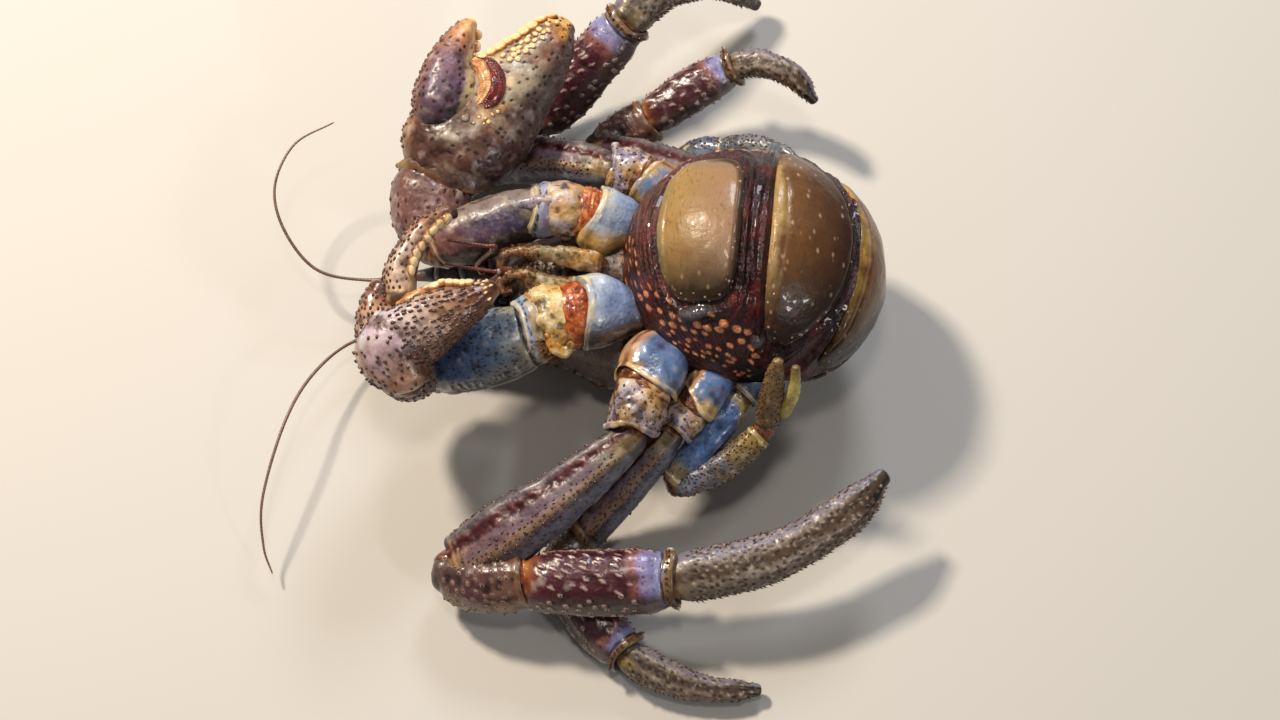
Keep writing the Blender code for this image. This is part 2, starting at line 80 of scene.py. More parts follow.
def ease(low, high, value):
    """Smooth step from 0 at low to 1 at high."""
    share = np.clip((value - low) / (high - low), 0, 1)
    return share * share * (3 - 2 * share)


def bell(value, centre, width):
    """Smooth hump of height 1 at a centre."""
    return np.exp(-((value - centre) / width) ** 2)


def turn_gap(angle, centre):
    """Signed angle from a centre, the short way round."""
    return (angle - centre + math.pi) % TAU - math.pi


def unit(vectors):
    """Vectors of length 1."""
    return vectors / np.maximum(np.linalg.norm(vectors, axis=-1, keepdims=True), 1e-9)


def tube(grid):
    """Points and faces of a grid whose columns go round, with both ends closed by fans."""
    n, m = grid.shape[:2]
    index = np.arange(n * m).reshape(n, m)
    beyond = np.roll(index, -1, axis=1)
    quads = np.stack([index[:-1], beyond[:-1], beyond[1:], index[1:]], -1).reshape(-1, 4)
    fans = [np.stack([np.full(m, n * m), beyond[0], index[0], np.full(m, -1)], 1),
            np.stack([np.full(m, n * m + 1), index[-1], beyond[-1], np.full(m, -1)], 1)]
    points = grid.reshape(-1, 3)
    return np.vstack([points, points[:m].mean(0), points[-m:].mean(0)]), np.vstack([quads, *fans])


class Shell:
    """A lofted skin as a grid of points: rows run from the root (0) to the tip (1), columns go round."""

    def __init__(self, stations, seed, facing=UP, span=(0.0, 1.0), spacing=0.6, girth=lambda t: 1.0,
                 tip="dome", root=0.7, square=2.3, lobes=()):
        # a smooth curve through the stations, 40 samples to a span
        rows = np.array(stations, float)
        rows = np.vstack([rows[0] * 2 - rows[1], rows, rows[-1] * 2 - rows[-2]])
        spans = len(rows) - 3
        place = np.linspace(0, spans, 40 * spans + 1)
        first = np.minimum(place.astype(int), spans - 1)
        f = (place - first)[:, None]
        a, b, c, d = (rows[first + step] for step in range(4))
        curve = 0.5 * (2 * b + (c - a) * f + (2 * a - 5 * b + 4 * c - d) * f ** 2
                       + (3 * b - a - 3 * c + d) * f ** 3)
        tangent = unit(np.gradient(curve[:, :3], axis=0))
        side = unit(np.cross(np.array(facing, float), tangent))
        deep = np.cross(tangent, side)
        run = np.r_[0, np.cumsum(np.linalg.norm(np.diff(curve[:, :3], axis=0), axis=1))]
        self.seed, self.length = seed, run[-1]
        self.reach = float(curve[:, 3:].mean())

        # rows of points: a dome at the root, the body, then a dome or a socket's lip at the tip
        main = np.linspace(*span, max(int(self.length * (span[1] - span[0]) / spacing), 6))
        bulge = 0.55 * min(np.interp(span[1], run / run[-1], curve[:, 3]),
                           np.interp(span[1], run / run[-1], curve[:, 4]))
        turns = np.linspace(0, math.pi / 2, 9)[1:]
        if tip == "dome":
            ends = [(math.cos(turn) ** 0.8, bulge * math.sin(turn)) for turn in turns]
        else:                                   # a socket: the lip turns in and down round the next piece
            ends = [(1.0, 0.35), (0.975, 0.6), (0.94, 0.7), (0.905, 0.5), (0.88, -0.4), (0.86, -1.6),
                    (0.8, -2.6), (0.5, -3.2), (0.02, -3.4)]
        starts = [(math.sin(turn) ** 0.8, -2.8 * root * math.cos(turn))
                  for turn in np.linspace(0.04, math.pi / 2, 8)[:-1]]
        t = np.r_[[span[0]] * len(starts), main, [span[1]] * len(ends)]
        scale = np.r_[[s for s, _ in starts], np.ones(len(main)), [s for s, _ in ends]] * girth(t)
        push = np.r_[[p for _, p in starts], np.zeros(len(main)), [p for _, p in ends]]
        at = t * run[-1]
        centre, across, into, along = (np.stack([np.interp(at, run, part) for part in array.T], 1)
                                       for array in (curve[:, :3], side, deep, tangent))
        across, into, along = unit(across), unit(into), unit(along)
        half = [np.interp(at, run, curve[:, k]) * scale * SKIN_SHARE for k in (3, 4)]
        columns = int(max(TAU * self.reach / spacing, 12))
        self.step = (self.length * (span[1] - span[0]) / len(main), TAU * self.reach / columns)
        self.t, self.angle = t, TAU * np.arange(columns) / columns
        self.body = slice(len(starts), len(starts) + len(main))

        # the section is a superellipse, squarer as `square` rises
        cosine, sine = np.cos(self.angle), np.sin(self.angle)
        wide = np.sign(cosine) * np.abs(cosine) ** (2 / square)
        tall = np.sign(sine) * np.abs(sine) ** (2 / square)
        push = np.repeat(push[:, None], columns, 1)
        for amount, angle, count in lobes:      # the far rim reaches out in lobes
            push += amount * ease(span[1] - 0.3, span[1], t)[:, None] * np.cos(count * (self.angle - angle))
        self.grid = (centre[:, None, :] + along[:, None, :] * push[..., None]
                     + across[:, None, :] * (half[0][:, None] * wide)[..., None]
                     + into[:, None, :] * (half[1][:, None] * tall)[..., None])
        self.T, self.A = np.meshgrid(t, self.angle, indexing="ij")
        self.height = np.zeros_like(self.T)
        self.tint = np.zeros(self.T.shape + (3,))       # dark marks, pale marks, rim
        # painted shade, with some dirt, at the root, where it sinks into the cup of the piece before
        self.wear_and_shading = -0.8 * ease(0.035, 0.0, self.T - span[0]) * (span[0] == 0)
        self.round = 0.5 * (half[0] + half[1])
        self.normal = self.normals()

    def normals(self):
        """Outward directions of the grid."""
        around = np.roll(self.grid, -1, axis=1) - np.roll(self.grid, 1, axis=1)
        return unit(np.cross(around, np.gradient(self.grid, axis=0)))

    def settle(self, floor=None):
        """Push the grid out by the heights gathered so far; hollows get dirt and painted shade, and crests
        wear bright with a painted highlight.
        """
        rows, columns = self.height.shape
        soft = [np.exp(-2 * (math.pi * size * np.fft.fftfreq(count)) ** 2)
                for size, count in ((WEAR_AND_SHADE_SPREAD / self.step[0], rows),
                                    (WEAR_AND_SHADE_SPREAD / self.step[1], columns))]
        around = np.fft.ifft2(np.fft.fft2(self.height) * soft[0][:, None] * soft[1][None]).real
        self.wear_and_shading = np.clip(self.wear_and_shading + (self.height - around) / WEAR_AND_SHADE_DEPTH, -1, 1)
        self.grid = self.grid + self.normal * self.height[..., None]
        if floor is not None:
            self.grid[..., 2] = np.maximum(self.grid[..., 2], floor)
        self.height = np.zeros_like(self.T)
        self.normal = self.normals()
        return self

    def lumps(self, *layers):
        """Uneven growth: (size, height) layers of noise, in millimetres."""
        for number, (size, height) in enumerate(layers):
            self.height += height * waves(self.grid, size, self.seed + number)
        return self

    def keel(self, angle, width, height, span=(0.0, 1.0), bend=0.0):
        """A ridge (or a furrow, if the height is negative) along the piece."""
        window = ease(span[0] - 0.05, span[0] + 0.05, self.T) * ease(span[1] + 0.05, span[1] - 0.05, self.T)
        self.height += height * bell(turn_gap(self.A, angle + bend * (self.T - 0.5)), 0, width) * window
        return self

    def ring(self, t, width, height, tint=0.0):
        """A ridge or groove round the piece; t is where, the width is in millimetres."""
        uneven = waves(self.grid, 5.0, self.seed + 7)
        hump = bell((self.T - t) * self.length + 0.5 * uneven, 0, width)
        self.height += height * hump * (1 + 0.4 * uneven)
        self.tint[..., 2] = np.maximum(self.tint[..., 2], hump * tint * (0.85 + 0.6 * uneven))
        return self

    def marks(self, t, angle, long, wide, height, channel, axis=None, edge=0.45):
        """Oval marks of given half sizes, raised by a height and painted on one channel of the tint."""
        points, _, along, across = self.at(t, angle)
        if axis is not None:
            lean = math.radians(axis)
            along, across = (along * math.cos(lean) + across * math.sin(lean),
                             across * math.cos(lean) - along * math.sin(lean))
        long, wide, height = (np.broadcast_to(value, len(points)) for value in (long, wide, height))
        rows = self.row(t)
        columns = np.asarray(angle) / TAU * len(self.angle)
        step_t = self.length / max(self.body.stop - self.body.start, 1)
        step_t *= (self.t[self.body][-1] - self.t[self.body][0])
        for k in range(len(points)):
            size = max(long[k], wide[k])
            around = max(np.interp(rows[k], np.arange(len(self.t)), self.round), 1.0)
            reach_t = int(size / step_t) + 2
            reach_a = min(int(size / (TAU * around / len(self.angle))) + 2, len(self.angle) // 2)
            r = np.arange(max(int(rows[k]) - reach_t, 0), min(int(rows[k]) + reach_t + 2, len(self.t)))
            c = np.arange(int(columns[k]) - reach_a, int(columns[k]) + reach_a + 2) % len(self.angle)
            box = np.ix_(r, c)
            gap = self.grid[box] - points[k]
            far = np.sqrt((gap @ along[k] / long[k]) ** 2 + (gap @ across[k] / wide[k]) ** 2)
            mark = ease(1.0, edge, far)
            self.height[box] += height[k] * mark
            self.tint[box + (channel,)] = np.maximum(self.tint[box + (channel,)], mark)
        return self

    def row(self, t):
        """Grid rows of places along the piece; from 0 to -0.1 they run up the dome at its root."""
        rows = np.interp(t, self.t[self.body], np.arange(len(self.t))[self.body])
        return rows + np.clip(np.asarray(t, float), -0.1, 0) / 0.1 * (self.body.start - 1)

    def at(self, t, angle):
        """Points, outward directions, and the directions along and across, at places on the piece."""
        t, angle = np.asarray(t, float), np.asarray(angle, float)
        rows = self.row(t)
        columns = (angle / TAU * len(self.angle)) % len(self.angle)
        r, c = np.minimum(rows.astype(int), len(self.t) - 2), columns.astype(int)
        fr, fc = (rows - r)[:, None], (columns - c)[:, None]
        c, beyond = c % len(self.angle), (c + 1) % len(self.angle)

        def read(grid):
            return ((grid[r, c] * (1 - fc) + grid[r, beyond] * fc) * (1 - fr)
                    + (grid[r + 1, c] * (1 - fc) + grid[r + 1, beyond] * fc) * fr)

        normal = unit(read(self.normal))
        along = self.grid[r + 1, c] - self.grid[r, c]
        along = unit(along - normal * np.sum(along * normal, axis=1, keepdims=True))
        return read(self.grid), normal, along, np.cross(normal, along)

    def find(self, points):
        """Where on the piece the places nearest to some points lie."""
        body = self.grid[self.body]
        nearest = [np.unravel_index(np.argmin(np.linalg.norm(body - point, axis=-1)), body.shape[:2])
                   for point in points]
        rows, columns = np.array(nearest).T
        return self.t[self.body][rows], self.angle[columns]

    def rows_of(self, rng, span, arc, gap_t, gap_a, jitter=0.3):
        """Staggered rows of places, gaps in millimetres, in a span of t and an arc of angles."""
        places = []
        count = max(int(self.length * (span[1] - span[0]) / gap_t), 1)
        for row in range(count + 1):
            t = span[0] + (span[1] - span[0]) * row / count
            around = max(np.interp(self.row(t), np.arange(len(self.t)), self.round), 0.5)
            number = max(int(around * (arc[1] - arc[0]) / gap_a), 1)
            for place in range(number):
                angle = arc[0] + (arc[1] - arc[0]) * (place + 0.5 * (row % 2) + 0.25) / number
                places.append((t, angle, gap_a / around))
        t, angle, step = np.array(places).T
        t = t + rng.uniform(-jitter, jitter, len(t)) * gap_t / self.length
        angle = angle + rng.uniform(-jitter, jitter, len(t)) * step
        keep = (t > span[0]) & (t < span[1])
        return t[keep], angle[keep] % TAU

    def chunk(self, finish):
        """The skin's points and faces, with where each point is on the piece."""
        points, faces = tube(self.grid)
        place = np.stack([self.T, np.cos(self.A), np.sin(self.A)], -1).reshape(-1, 3)
        place = np.vstack([place, [[self.t[0], 0, 0], [self.t[-1], 0, 0]]])
        tint = np.vstack([self.tint.reshape(-1, 3), np.zeros((2, 3))])
        return {"points": points, "faces": faces, "place": place, "tint": tint,
                "wear_and_shading": np.r_[self.wear_and_shading.ravel(), -1, -1], "finish": finish}


def assemble(name, chunks, sharp=60):
    """Join chunks into one smooth object in metres, in the frame's place."""
    points = np.concatenate([chunk["points"] for chunk in chunks])
    starts = np.cumsum([0] + [len(chunk["points"]) for chunk in chunks])
    faces = np.concatenate([np.where(chunk["faces"] >= 0, chunk["faces"] + start, -1)
                            for chunk, start in zip(chunks, starts)])
    finishes = list(dict.fromkeys(chunk["finish"] for chunk in chunks))
    slots = np.concatenate([np.full(len(chunk["faces"]), finishes.index(chunk["finish"]))
                            for chunk in chunks])
    used = faces >= 0
    totals = used.sum(1)
    mesh = bpy.data.meshes.new(name)
    mesh.vertices.add(len(points))
    low, high = np.array(cad_box)
    margin = 0.03 * MM                          # pieces stay this far inside the solids' box
    places = np.clip((points + CRAB_ORIGIN) * MM, low + margin * (low < 0), high - margin)
    mesh.vertices.foreach_set("co", places.astype(np.float32).ravel())
    mesh.loops.add(int(totals.sum()))
    mesh.loops.foreach_set("vertex_index", faces[used].astype(np.int32))
    mesh.polygons.add(len(faces))
    mesh.polygons.foreach_set("loop_start", np.r_[0, np.cumsum(totals)[:-1]].astype(np.int32))
    mesh.update(calc_edges=True)
    for finish in finishes:
        mesh.materials.append(finish)
    mesh.polygons.foreach_set("material_index", slots.astype(np.int32))
    for key, kind, slot in (("place", "FLOAT_VECTOR", "vector"), ("tint", "FLOAT_VECTOR", "vector"),
                            ("wear_and_shading", "FLOAT", "value")):
        layer = mesh.attributes.new(key, kind, "POINT")
        layer.data.foreach_set(slot,
                               np.concatenate([chunk[key] for chunk in chunks]).astype(np.float32).ravel())
    if "uv" in chunks[0]:
        layer = mesh.uv_layers.new(name="OFBake")
        places = np.concatenate([chunk["uv"] for chunk in chunks])
        layer.data.foreach_set("uv", places[faces[used]].astype(np.float32).ravel())
    mesh.shade_smooth()
    mesh.set_sharp_from_angle(angle=math.radians(sharp))
    mesh.validate()
    obj = bpy.data.objects.new(name, mesh)
    bpy.context.scene.collection.objects.link(obj)
    return obj


def stand_for(node, chunks):
    """The finished piece that is shown in place of one solid of the frame."""
    piece = assemble(node + "_shell", chunks)
    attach(piece, "root")
    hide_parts(node)
    return piece


def linear(code):
    """An sRGB hex colour as linear RGBA."""
    parts = [int(code[k:k + 2], 16) / 255 for k in (1, 3, 5)]
    return (*[p / 12.92 if p <= 0.04045 else ((p + 0.055) / 1.055) ** 2.4 for p in parts], 1.0)


def plug(owner, node, inputs):
    """Link a node's inputs to the sockets given, and set the others; a hex colour is turned linear."""
    for key, value in dict(inputs).items():
        if isinstance(value, bpy.types.NodeSocket):
            owner.node_tree.links.new(value, node.inputs[key])
        else:
            node.inputs[key].default_value = linear(value) if isinstance(value, str) else value


def add(material, kind, inputs=(), out=0, stops=(), **settings):
    """Add a shader node with its settings and inputs; return one output, or all if out is None."""
    made = material.node_tree.nodes.new("ShaderNode" + kind)
    for key, value in settings.items():
        setattr(made, key, value)
    for number, (place, code) in enumerate(stops):
        points = made.color_ramp.elements
        point = points[number] if number < 2 else points.new(place)
        point.position, point.color = place, linear(code)
    plug(material, made, inputs)
    return made.outputs if out is None else made.outputs[out]


def per(size):
    """Texture scale for a pattern of a size in millimetres, on coordinates in metres."""
    return 1 / (size * MM)


def blank(name):
    """A new material with only a Principled shader."""
    material = bpy.data.materials.new(name)
    material.use_nodes = True
    return material, material.node_tree.nodes["Principled BSDF"]


def mix(material, share, first, second, kind="MIX"):
    """Blend two colours."""
    return add(material, "Mix", {0: share, 6: first, 7: second}, out=2, data_type="RGBA", blend_type=kind)


def chitin(name, top, under, mottle="#6b4a3a", mottled=0.35, dark="#2c1a15", pale="#d9c3ae", rim="#c9a878",
           bands=(), rough=0.36, coat=0.2, grain=0.3, specks=0.0, speck="#2a1c18", hazy=0.12, dirt_and_shade=0.85):
    """Crab shell: pigment lies in cloudy layers under a thin, slightly waxy cuticle, so the colour drifts
    along and round each piece, breaks up into mottles, and the surface has a satin, finely pitted shine.
    A band is (cosine of the angle at its middle, half width, colour, strength)."""
    material, shader = blank(name)
    where = add(material, "TexCoord", out=3)
    place = add(material, "Attribute", attribute_name="place", out=1)
    tint = add(material, "Attribute", attribute_name="tint", out=1)
    spot = add(material, "SeparateXYZ", {0: tint}, out=None)
    split = add(material, "SeparateXYZ", {0: place}, out=None)
    cloud = add(material, "TexNoise", {"Vector": where, "Scale": per(11), "Detail": 4.0, "Roughness": 0.6})
    fine = add(material, "TexNoise", {"Vector": where, "Scale": per(2.2), "Detail": 5.0, "Roughness": 0.65})
    drift = add(material, "MapRange", {"Value": cloud, 1: 0.25, 2: 0.75, 3: -hazy, 4: hazy})
    along = add(material, "Math", {0: split[0], 1: drift}, operation="ADD")
    upper = add(material, "ValToRGB", {"Fac": along}, stops=top)
    lower = add(material, "ValToRGB", {"Fac": along}, stops=under)
    facing = add(material, "Math", {0: split[2], 1: drift}, operation="ADD")
    over = add(material, "MapRange", {"Value": facing, 1: -0.45, 2: 0.15}, interpolation_type="SMOOTHSTEP")
    colour = mix(material, over, lower, upper)
    for centre, width, tone, strength in bands:
        reading = add(material, "Math", {0: split[1], 1: drift}, operation="ADD")
        away = add(material, "Math", {0: reading, 1: centre}, operation="SUBTRACT")
        away = add(material, "Math", {0: away}, operation="ABSOLUTE")
        gap = add(material, "MapRange", {"Value": away, 1: width, 2: width * 0.35, 4: strength},
                  interpolation_type="SMOOTHSTEP")
        colour = mix(material, gap, colour, tone)
    blotch = add(material, "MapRange", {"Value": fine, 1: 0.5, 2: 0.68, 4: mottled})
    colour = mix(material, blotch, colour, mottle)
    shade = add(material, "MapRange", {"Value": cloud, 1: 0.3, 2: 0.7, 3: 0.8, 4: 1.16})
    colour = add(material, "HueSaturation", {"Color": colour, "Value": shade})
    pits = add(material, "TexVoronoi", {"Vector": where, "Scale": per(1.5)})
    if specks:
        dot = add(material, "MapRange", {"Value": pits, 1: 0.30, 2: 0.16, 4: specks})
        colour = mix(material, dot, colour, speck)
    for channel, tone, strength in ((1, pale, 0.9), (2, rim, 0.9), (0, dark, 0.92)):
        broken = add(material, "MapRange", {"Value": fine, 1: 0.28, 2: 0.5, 3: 0.5, 4: strength})
        share = add(material, "Math", {0: spot[channel], 1: broken}, operation="MULTIPLY")
        colour = mix(material, share, colour, tone)
    # painted shade, with some dirt, darkens the hollows and roots; a warm painted highlight, with some wear,
    # lights the crests
    wear_and_shading = add(material, "Attribute", attribute_name="wear_and_shading", out=2)
    wear_and_shade_level = add(material, "Math", {0: fine, 1: 1.1, 2: wear_and_shading}, operation="MULTIPLY_ADD")
    grime_and_shade = add(material, "MapRange", {"Value": wear_and_shade_level, 1: 0.42, 2: -0.35, 4: dirt_and_shade})
    colour = mix(material, grime_and_shade, colour, "#5c3c28", "MULTIPLY")
    bright = add(material, "MapRange", {"Value": wear_and_shade_level, 1: 0.75, 2: 1.7, 4: 0.3})
    colour = mix(material, bright, colour, "#fff0dc", "SCREEN")
    shine = add(material, "MapRange", {"Value": fine, 1: 0.3, 2: 0.7, 3: rough - 0.09, 4: rough + 0.12})
    rise = add(material, "Math", {0: fine, 1: 0.6, 2: pits}, operation="MULTIPLY_ADD")
    bump = add(material, "Bump", {"Height": rise, "Strength": grain, "Distance": 0.35 * MM})
    plug(material, shader, {"Base Color": colour, "Roughness": shine, "Normal": bump, "IOR": CHITIN_IOR,
                            "Coat Weight": coat, "Coat Roughness": 0.18})
    return material


CARAPACE = [                    # x, half width, lowest z, highest z
    (-66, 2.0, 16, 20), (-59, 9, 11, 26), (-52, 17, 7, 32), (-42, 22, 3.5, 38), (-28, 28, 1, 43),
    (-14, 35, -0.5, 46), (-2, 40, -1.2, 48), (12, 46, -1.5, 48), (28, 47, -1.5, 47), (42, 42, -0.5, 43),
    (52, 31, 4, 37), (57, 16, 11, 30),
]
CERVICAL_GROOVE_X, HEART_HALF_WIDTH, SEAM = -3.0, 11.0, 0.4
FLANK_SEAM_Z = 19.0                             # where the flank plate joins

# thick cuticle of the back: violet-blue, browner toward the light, worn smooth to a satin shine
carapace_chitin = chitin(
    "carapace_chitin", top=[(0, "#5c4840"), (0.45, "#64504a"), (1, "#54403a")],
    under=[(0, "#3c2030"), (0.3, "#2c2038"), (0.7, "#2c2244"), (1, "#361e30")],
    mottle="#6a3c28", mottled=0.4, rough=0.31, coat=0.3, specks=0.35)


def bisect(mesh, point, normal):
    """Cut a mesh by a plane, keep the side that the normal points to, and close the cut."""
    shape = bmesh.new()
    shape.from_mesh(mesh)
    cut = bmesh.ops.bisect_plane(shape, geom=shape.verts[:] + shape.edges[:] + shape.faces[:],
                                 plane_co=(np.array(point, float) + CRAB_ORIGIN) * MM, plane_no=normal,
                                 clear_inner=True, dist=1e-7)
    rim = [item for item in cut["geom_cut"] if isinstance(item, bmesh.types.BMEdge)]
    bmesh.ops.triangle_fill(shape, edges=rim, use_beauty=True, use_dissolve=False)
    shape.to_mesh(mesh)
    shape.free()


back = Shell([(x, 0, (low + high) / 2, half * 0.985, (high - low) / 2 * 0.985)
              for x, half, low, high in CARAPACE], seed=3, facing=(0, 0, 1), spacing=0.8, square=2.5)
x, y, z = np.moveaxis(back.grid, -1, 0)
dorsal = ease(26, 12, z)
back.lumps((14, 0.5), (5, 0.22), (2.0, 0.08))
back.height -= 1.1 * bell(x + 2.5 * (np.abs(y) / 30) ** 2, CERVICAL_GROOVE_X, 1.1)
back.height -= 0.8 * bell(np.abs(y) - 0.1 * np.maximum(x, 0), HEART_HALF_WIDTH, 1.2) * dorsal * (x > -3)
back.height += 0.5 * bell(z, FLANK_SEAM_Z, 2.0) * (x > -45)
rng = np.random.default_rng(5)
back.marks(*back.rows_of(rng, (0.06, 0.96), (math.pi, TAU), 3.4, 3.4), 0.9, 0.9, 0.22, 0)
skins["shield"] = back.settle(floor=0.0)
for node, planes in {
    "shield": [((CERVICAL_GROOVE_X - SEAM / 2, 0, 0), (-1, 0, 0))],
    "cardiac": [((CERVICAL_GROOVE_X + SEAM / 2, 0, 0), (1, 0, 0)),
                ((0, HEART_HALF_WIDTH - SEAM / 2, 0), (0, -1, 0)),
                ((0, SEAM / 2 - HEART_HALF_WIDTH, 0), (0, 1, 0))],
    "branchial_left": [((CERVICAL_GROOVE_X + SEAM / 2, 0, 0), (1, 0, 0)),
                       ((0, HEART_HALF_WIDTH + SEAM / 2, 0), (0, 1, 0))],
    "branchial_right": [((CERVICAL_GROOVE_X + SEAM / 2, 0, 0), (1, 0, 0)),
                        ((0, -HEART_HALF_WIDTH - SEAM / 2, 0), (0, -1, 0))],
}.items():
    part = stand_for(node, [back.chunk(carapace_chitin)])
    for point, normal in planes:
        bisect(part.data, point, normal)
    part.data.set_sharp_from_angle(angle=math.radians(60))

# ------------------------------------------------------------------ breastplate, mouth frame and tail fan
# The narrow sternum between the leg bases, the frame of the mouth, and the small tail fan tucked under
# the front of the folded abdomen: pale, thinly calcified chitin, cast in one with the body wall.
STERNUM = [(-22, 0, 50, 8.0, 5.0), (-6, 0, 51, 9.0, 6.0), (14, 0, 51, 12.0, 6.0), (34, 0, 49, 15.0, 6.0),
           (47, 0, 46, 11.0, 4.5)]
MOUTH = [(-43, 0, 40, 7.0, 6.0), (-34, 0, 43, 9.5, 8.0), (-22, 0, 47, 8.0, 7.0)]
TAIL_FAN = [(-1, 0, 58.5, 7.0, 1.4), (8, 0, 58.5, 11.0, 2.0), (20, 0, 58.5, 12.0, 2.2),
            (31, 0, 58, 9.0, 1.8)]

# thin cuticle of the breastplate and the mouth frame: umber with ochre mottles, hardly any shine
breast_chitin = chitin("breast_chitin", top=[(0, "#3c2414"), (0.5, "#402a1a"), (1, "#362a26")],
                       under=[(0, "#2c1e16"), (1, "#2c221e")], mottle="#74441c", mottled=0.5, rough=0.45,
                       coat=0.05)
for node, stations, facing in (("sternum", STERNUM, (0, 0, 1)), ("mouth", MOUTH, UP)):
    plate = Shell(stations, seed=11, facing=facing, spacing=0.7).lumps((7, 0.35), (2.5, 0.12))
    for t in (0.25, 0.5, 0.75):
        plate.ring(t, 0.8, -0.6)
    skins[node] = plate.settle()
    stand_for(node, [plate.chunk(breast_chitin)])
# the fan's cuticle: tan-brown and glossy, as on the plates of the abdomen
fan_chitin = chitin("fan_chitin", top=[(0, "#6b4a34"), (1, "#4a2c22")],
                    under=[(0, "#4a2c22"), (1, "#32190f")], rough=0.3, coat=0.4)
fan = Shell(TAIL_FAN, seed=12, facing=(0, 0, 1), spacing=0.6).lumps((4, 0.2))
fan.keel(math.pi / 2 - 0.5, 0.12, -0.5).keel(math.pi / 2 + 0.5, 0.12, -0.5)
stand_for("tail_fan", [fan.settle().chunk(fan_chitin)])

# ------------------------------------------------------------------ claws
# Two claws of unequal size, the left one larger: hollow segments of the thickest chitin on the animal,
# each set in the cup of the one before it. Dark scale-like bumps, each with a bristle pit, cover them,
# and the biting edges carry blunt, enamel-hard teeth.
CLAWS = {
    "claw_left": {
        "dactyl": [(-75, 54, 62, 9.0, 12.0), (-74, 60, 64, 10.6, 14.0), (-72, 70, 67, 9.8, 12.5),
                   (-69, 79, 69, 7.6, 10.0), (-65, 88, 70, 4.2, 6.5), (-63, 91, 70, 2.4, 4.0)],
        "palm": [(-75, 38, 49, 15.5, 14.0), (-70, 47, 52, 21.5, 17.0), (-63, 55, 54, 22.5, 18.0),
                 (-51, 68, 56, 18.5, 16.5), (-41, 80, 57, 14.0, 13.5), (-33, 91, 58, 9.5, 10.0),
                 (-29, 97, 58, 5.0, 6.0)],
        "carpus": [(-74, 10, 44, 9.0, 11.0), (-77, 20, 45, 14.0, 14.5), (-78, 31, 47, 16.0, 15.5),
                   (-76, 38, 49, 13.5, 13.0)],
        "merus": [(-34, 21, 56, 9.5, 11.5), (-50, 18, 53, 11.0, 12.5), (-66, 13, 49, 10.5, 12.0),
                  (-74, 11, 46, 8.0, 10.0)],
        "base": [(2, 16, 51, 9.0, 9.0), (-9, 18, 55, 11.5, 11.5), (-19, 19, 57, 11.0, 11.5),
                 (-29, 20, 58, 11.8, 12.0), (-39, 20, 56, 9.5, 11.5)],
    },
    "claw_right": {
        "dactyl": [(-85, -20, 69, 6.4, 9.0), (-85, -11, 71, 5.6, 9.0), (-82, -3, 73, 4.8, 8.0),
                   (-76, 5, 75, 4.0, 6.5), (-70, 9.5, 76, 2.8, 4.5), (-66, 10, 76, 1.8, 2.8)],
        "palm": [(-82.5, -46, 60, 11.0, 10.5), (-87.5, -36, 66, 13.6, 13.3), (-77, -29.5, 69, 14.0, 13.5),
                 (-61, -23, 71, 7.6, 8.6), (-52, -18, 73, 3.0, 4.0)],
        "carpus": [(-77, -31, 37, 10.0, 10.5), (-82.5, -36, 42, 11.5, 11.5), (-85.5, -41, 50, 10.5, 10.5),
                   (-83.5, -44.5, 57, 8.0, 8.5)],
        "merus": [(-36, -24, 49, 11.5, 10.5), (-51, -28, 45, 13.8, 12.5), (-68, -32, 41, 12.6, 12.0),
                  (-77, -33, 38, 10.0, 10.5)],
        "base": [(0, -16, 50, 9.5, 9.0), (-12, -18.5, 53, 14.2, 12.5), (-23, -20, 54, 13.6, 12.0),
                 (-33, -22, 52, 14.4, 13.0), (-42, -25, 49, 12.0, 11.0)],
    },
}

# tanned, hardened cuticle of the scales and spine tips: dark brown, smoother than the shell round it
horn, shader = blank("scale_horn")
grain = add(horn, "TexNoise", {"Vector": add(horn, "TexCoord", out=3), "Scale": per(1.4), "Detail": 3.0})
tone = add(horn, "ValToRGB", {"Fac": grain}, stops=[(0.3, "#24120d"), (0.7, "#6a3a26")])
plug(horn, shader, {"Base Color": tone, "Roughness": 0.34, "IOR": CHITIN_IOR})

# the calcified biting teeth: cream crowns worn smooth, turning brown toward each tooth's foot
ivory, shader = blank("tooth_enamel")
crown = add(ivory, "SeparateXYZ", {0: add(ivory, "Attribute", attribute_name="place", out=1)}, out=None)
stain = add(ivory, "TexNoise", {"Vector": add(ivory, "TexCoord", out=3), "Scale": per(1.8), "Detail": 4.0})
level = add(ivory, "Math", {0: stain, 1: 0.35, 2: crown[2]}, operation="MULTIPLY_ADD")
tone = add(ivory, "ValToRGB", {"Fac": level},
           stops=[(0.1, "#6a3a1c"), (0.42, "#c08448"), (0.75, "#e4c08c"), (1.0, "#f0d8ac")])
plug(ivory, shader, {"Base Color": tone, "Roughness": 0.28, "Coat Weight": 0.3})

# outlines of small bumps, from the foot up: share of the size, share of the height
LENS = ((1.0, -0.3), (0.78, 0.58))
TOOTH = ((1.0, -0.5), (1.0, 0.25), (0.84, 0.7), (0.48, 0.96))
SPINE = ((1.0, -0.3), (0.62, 0.4))


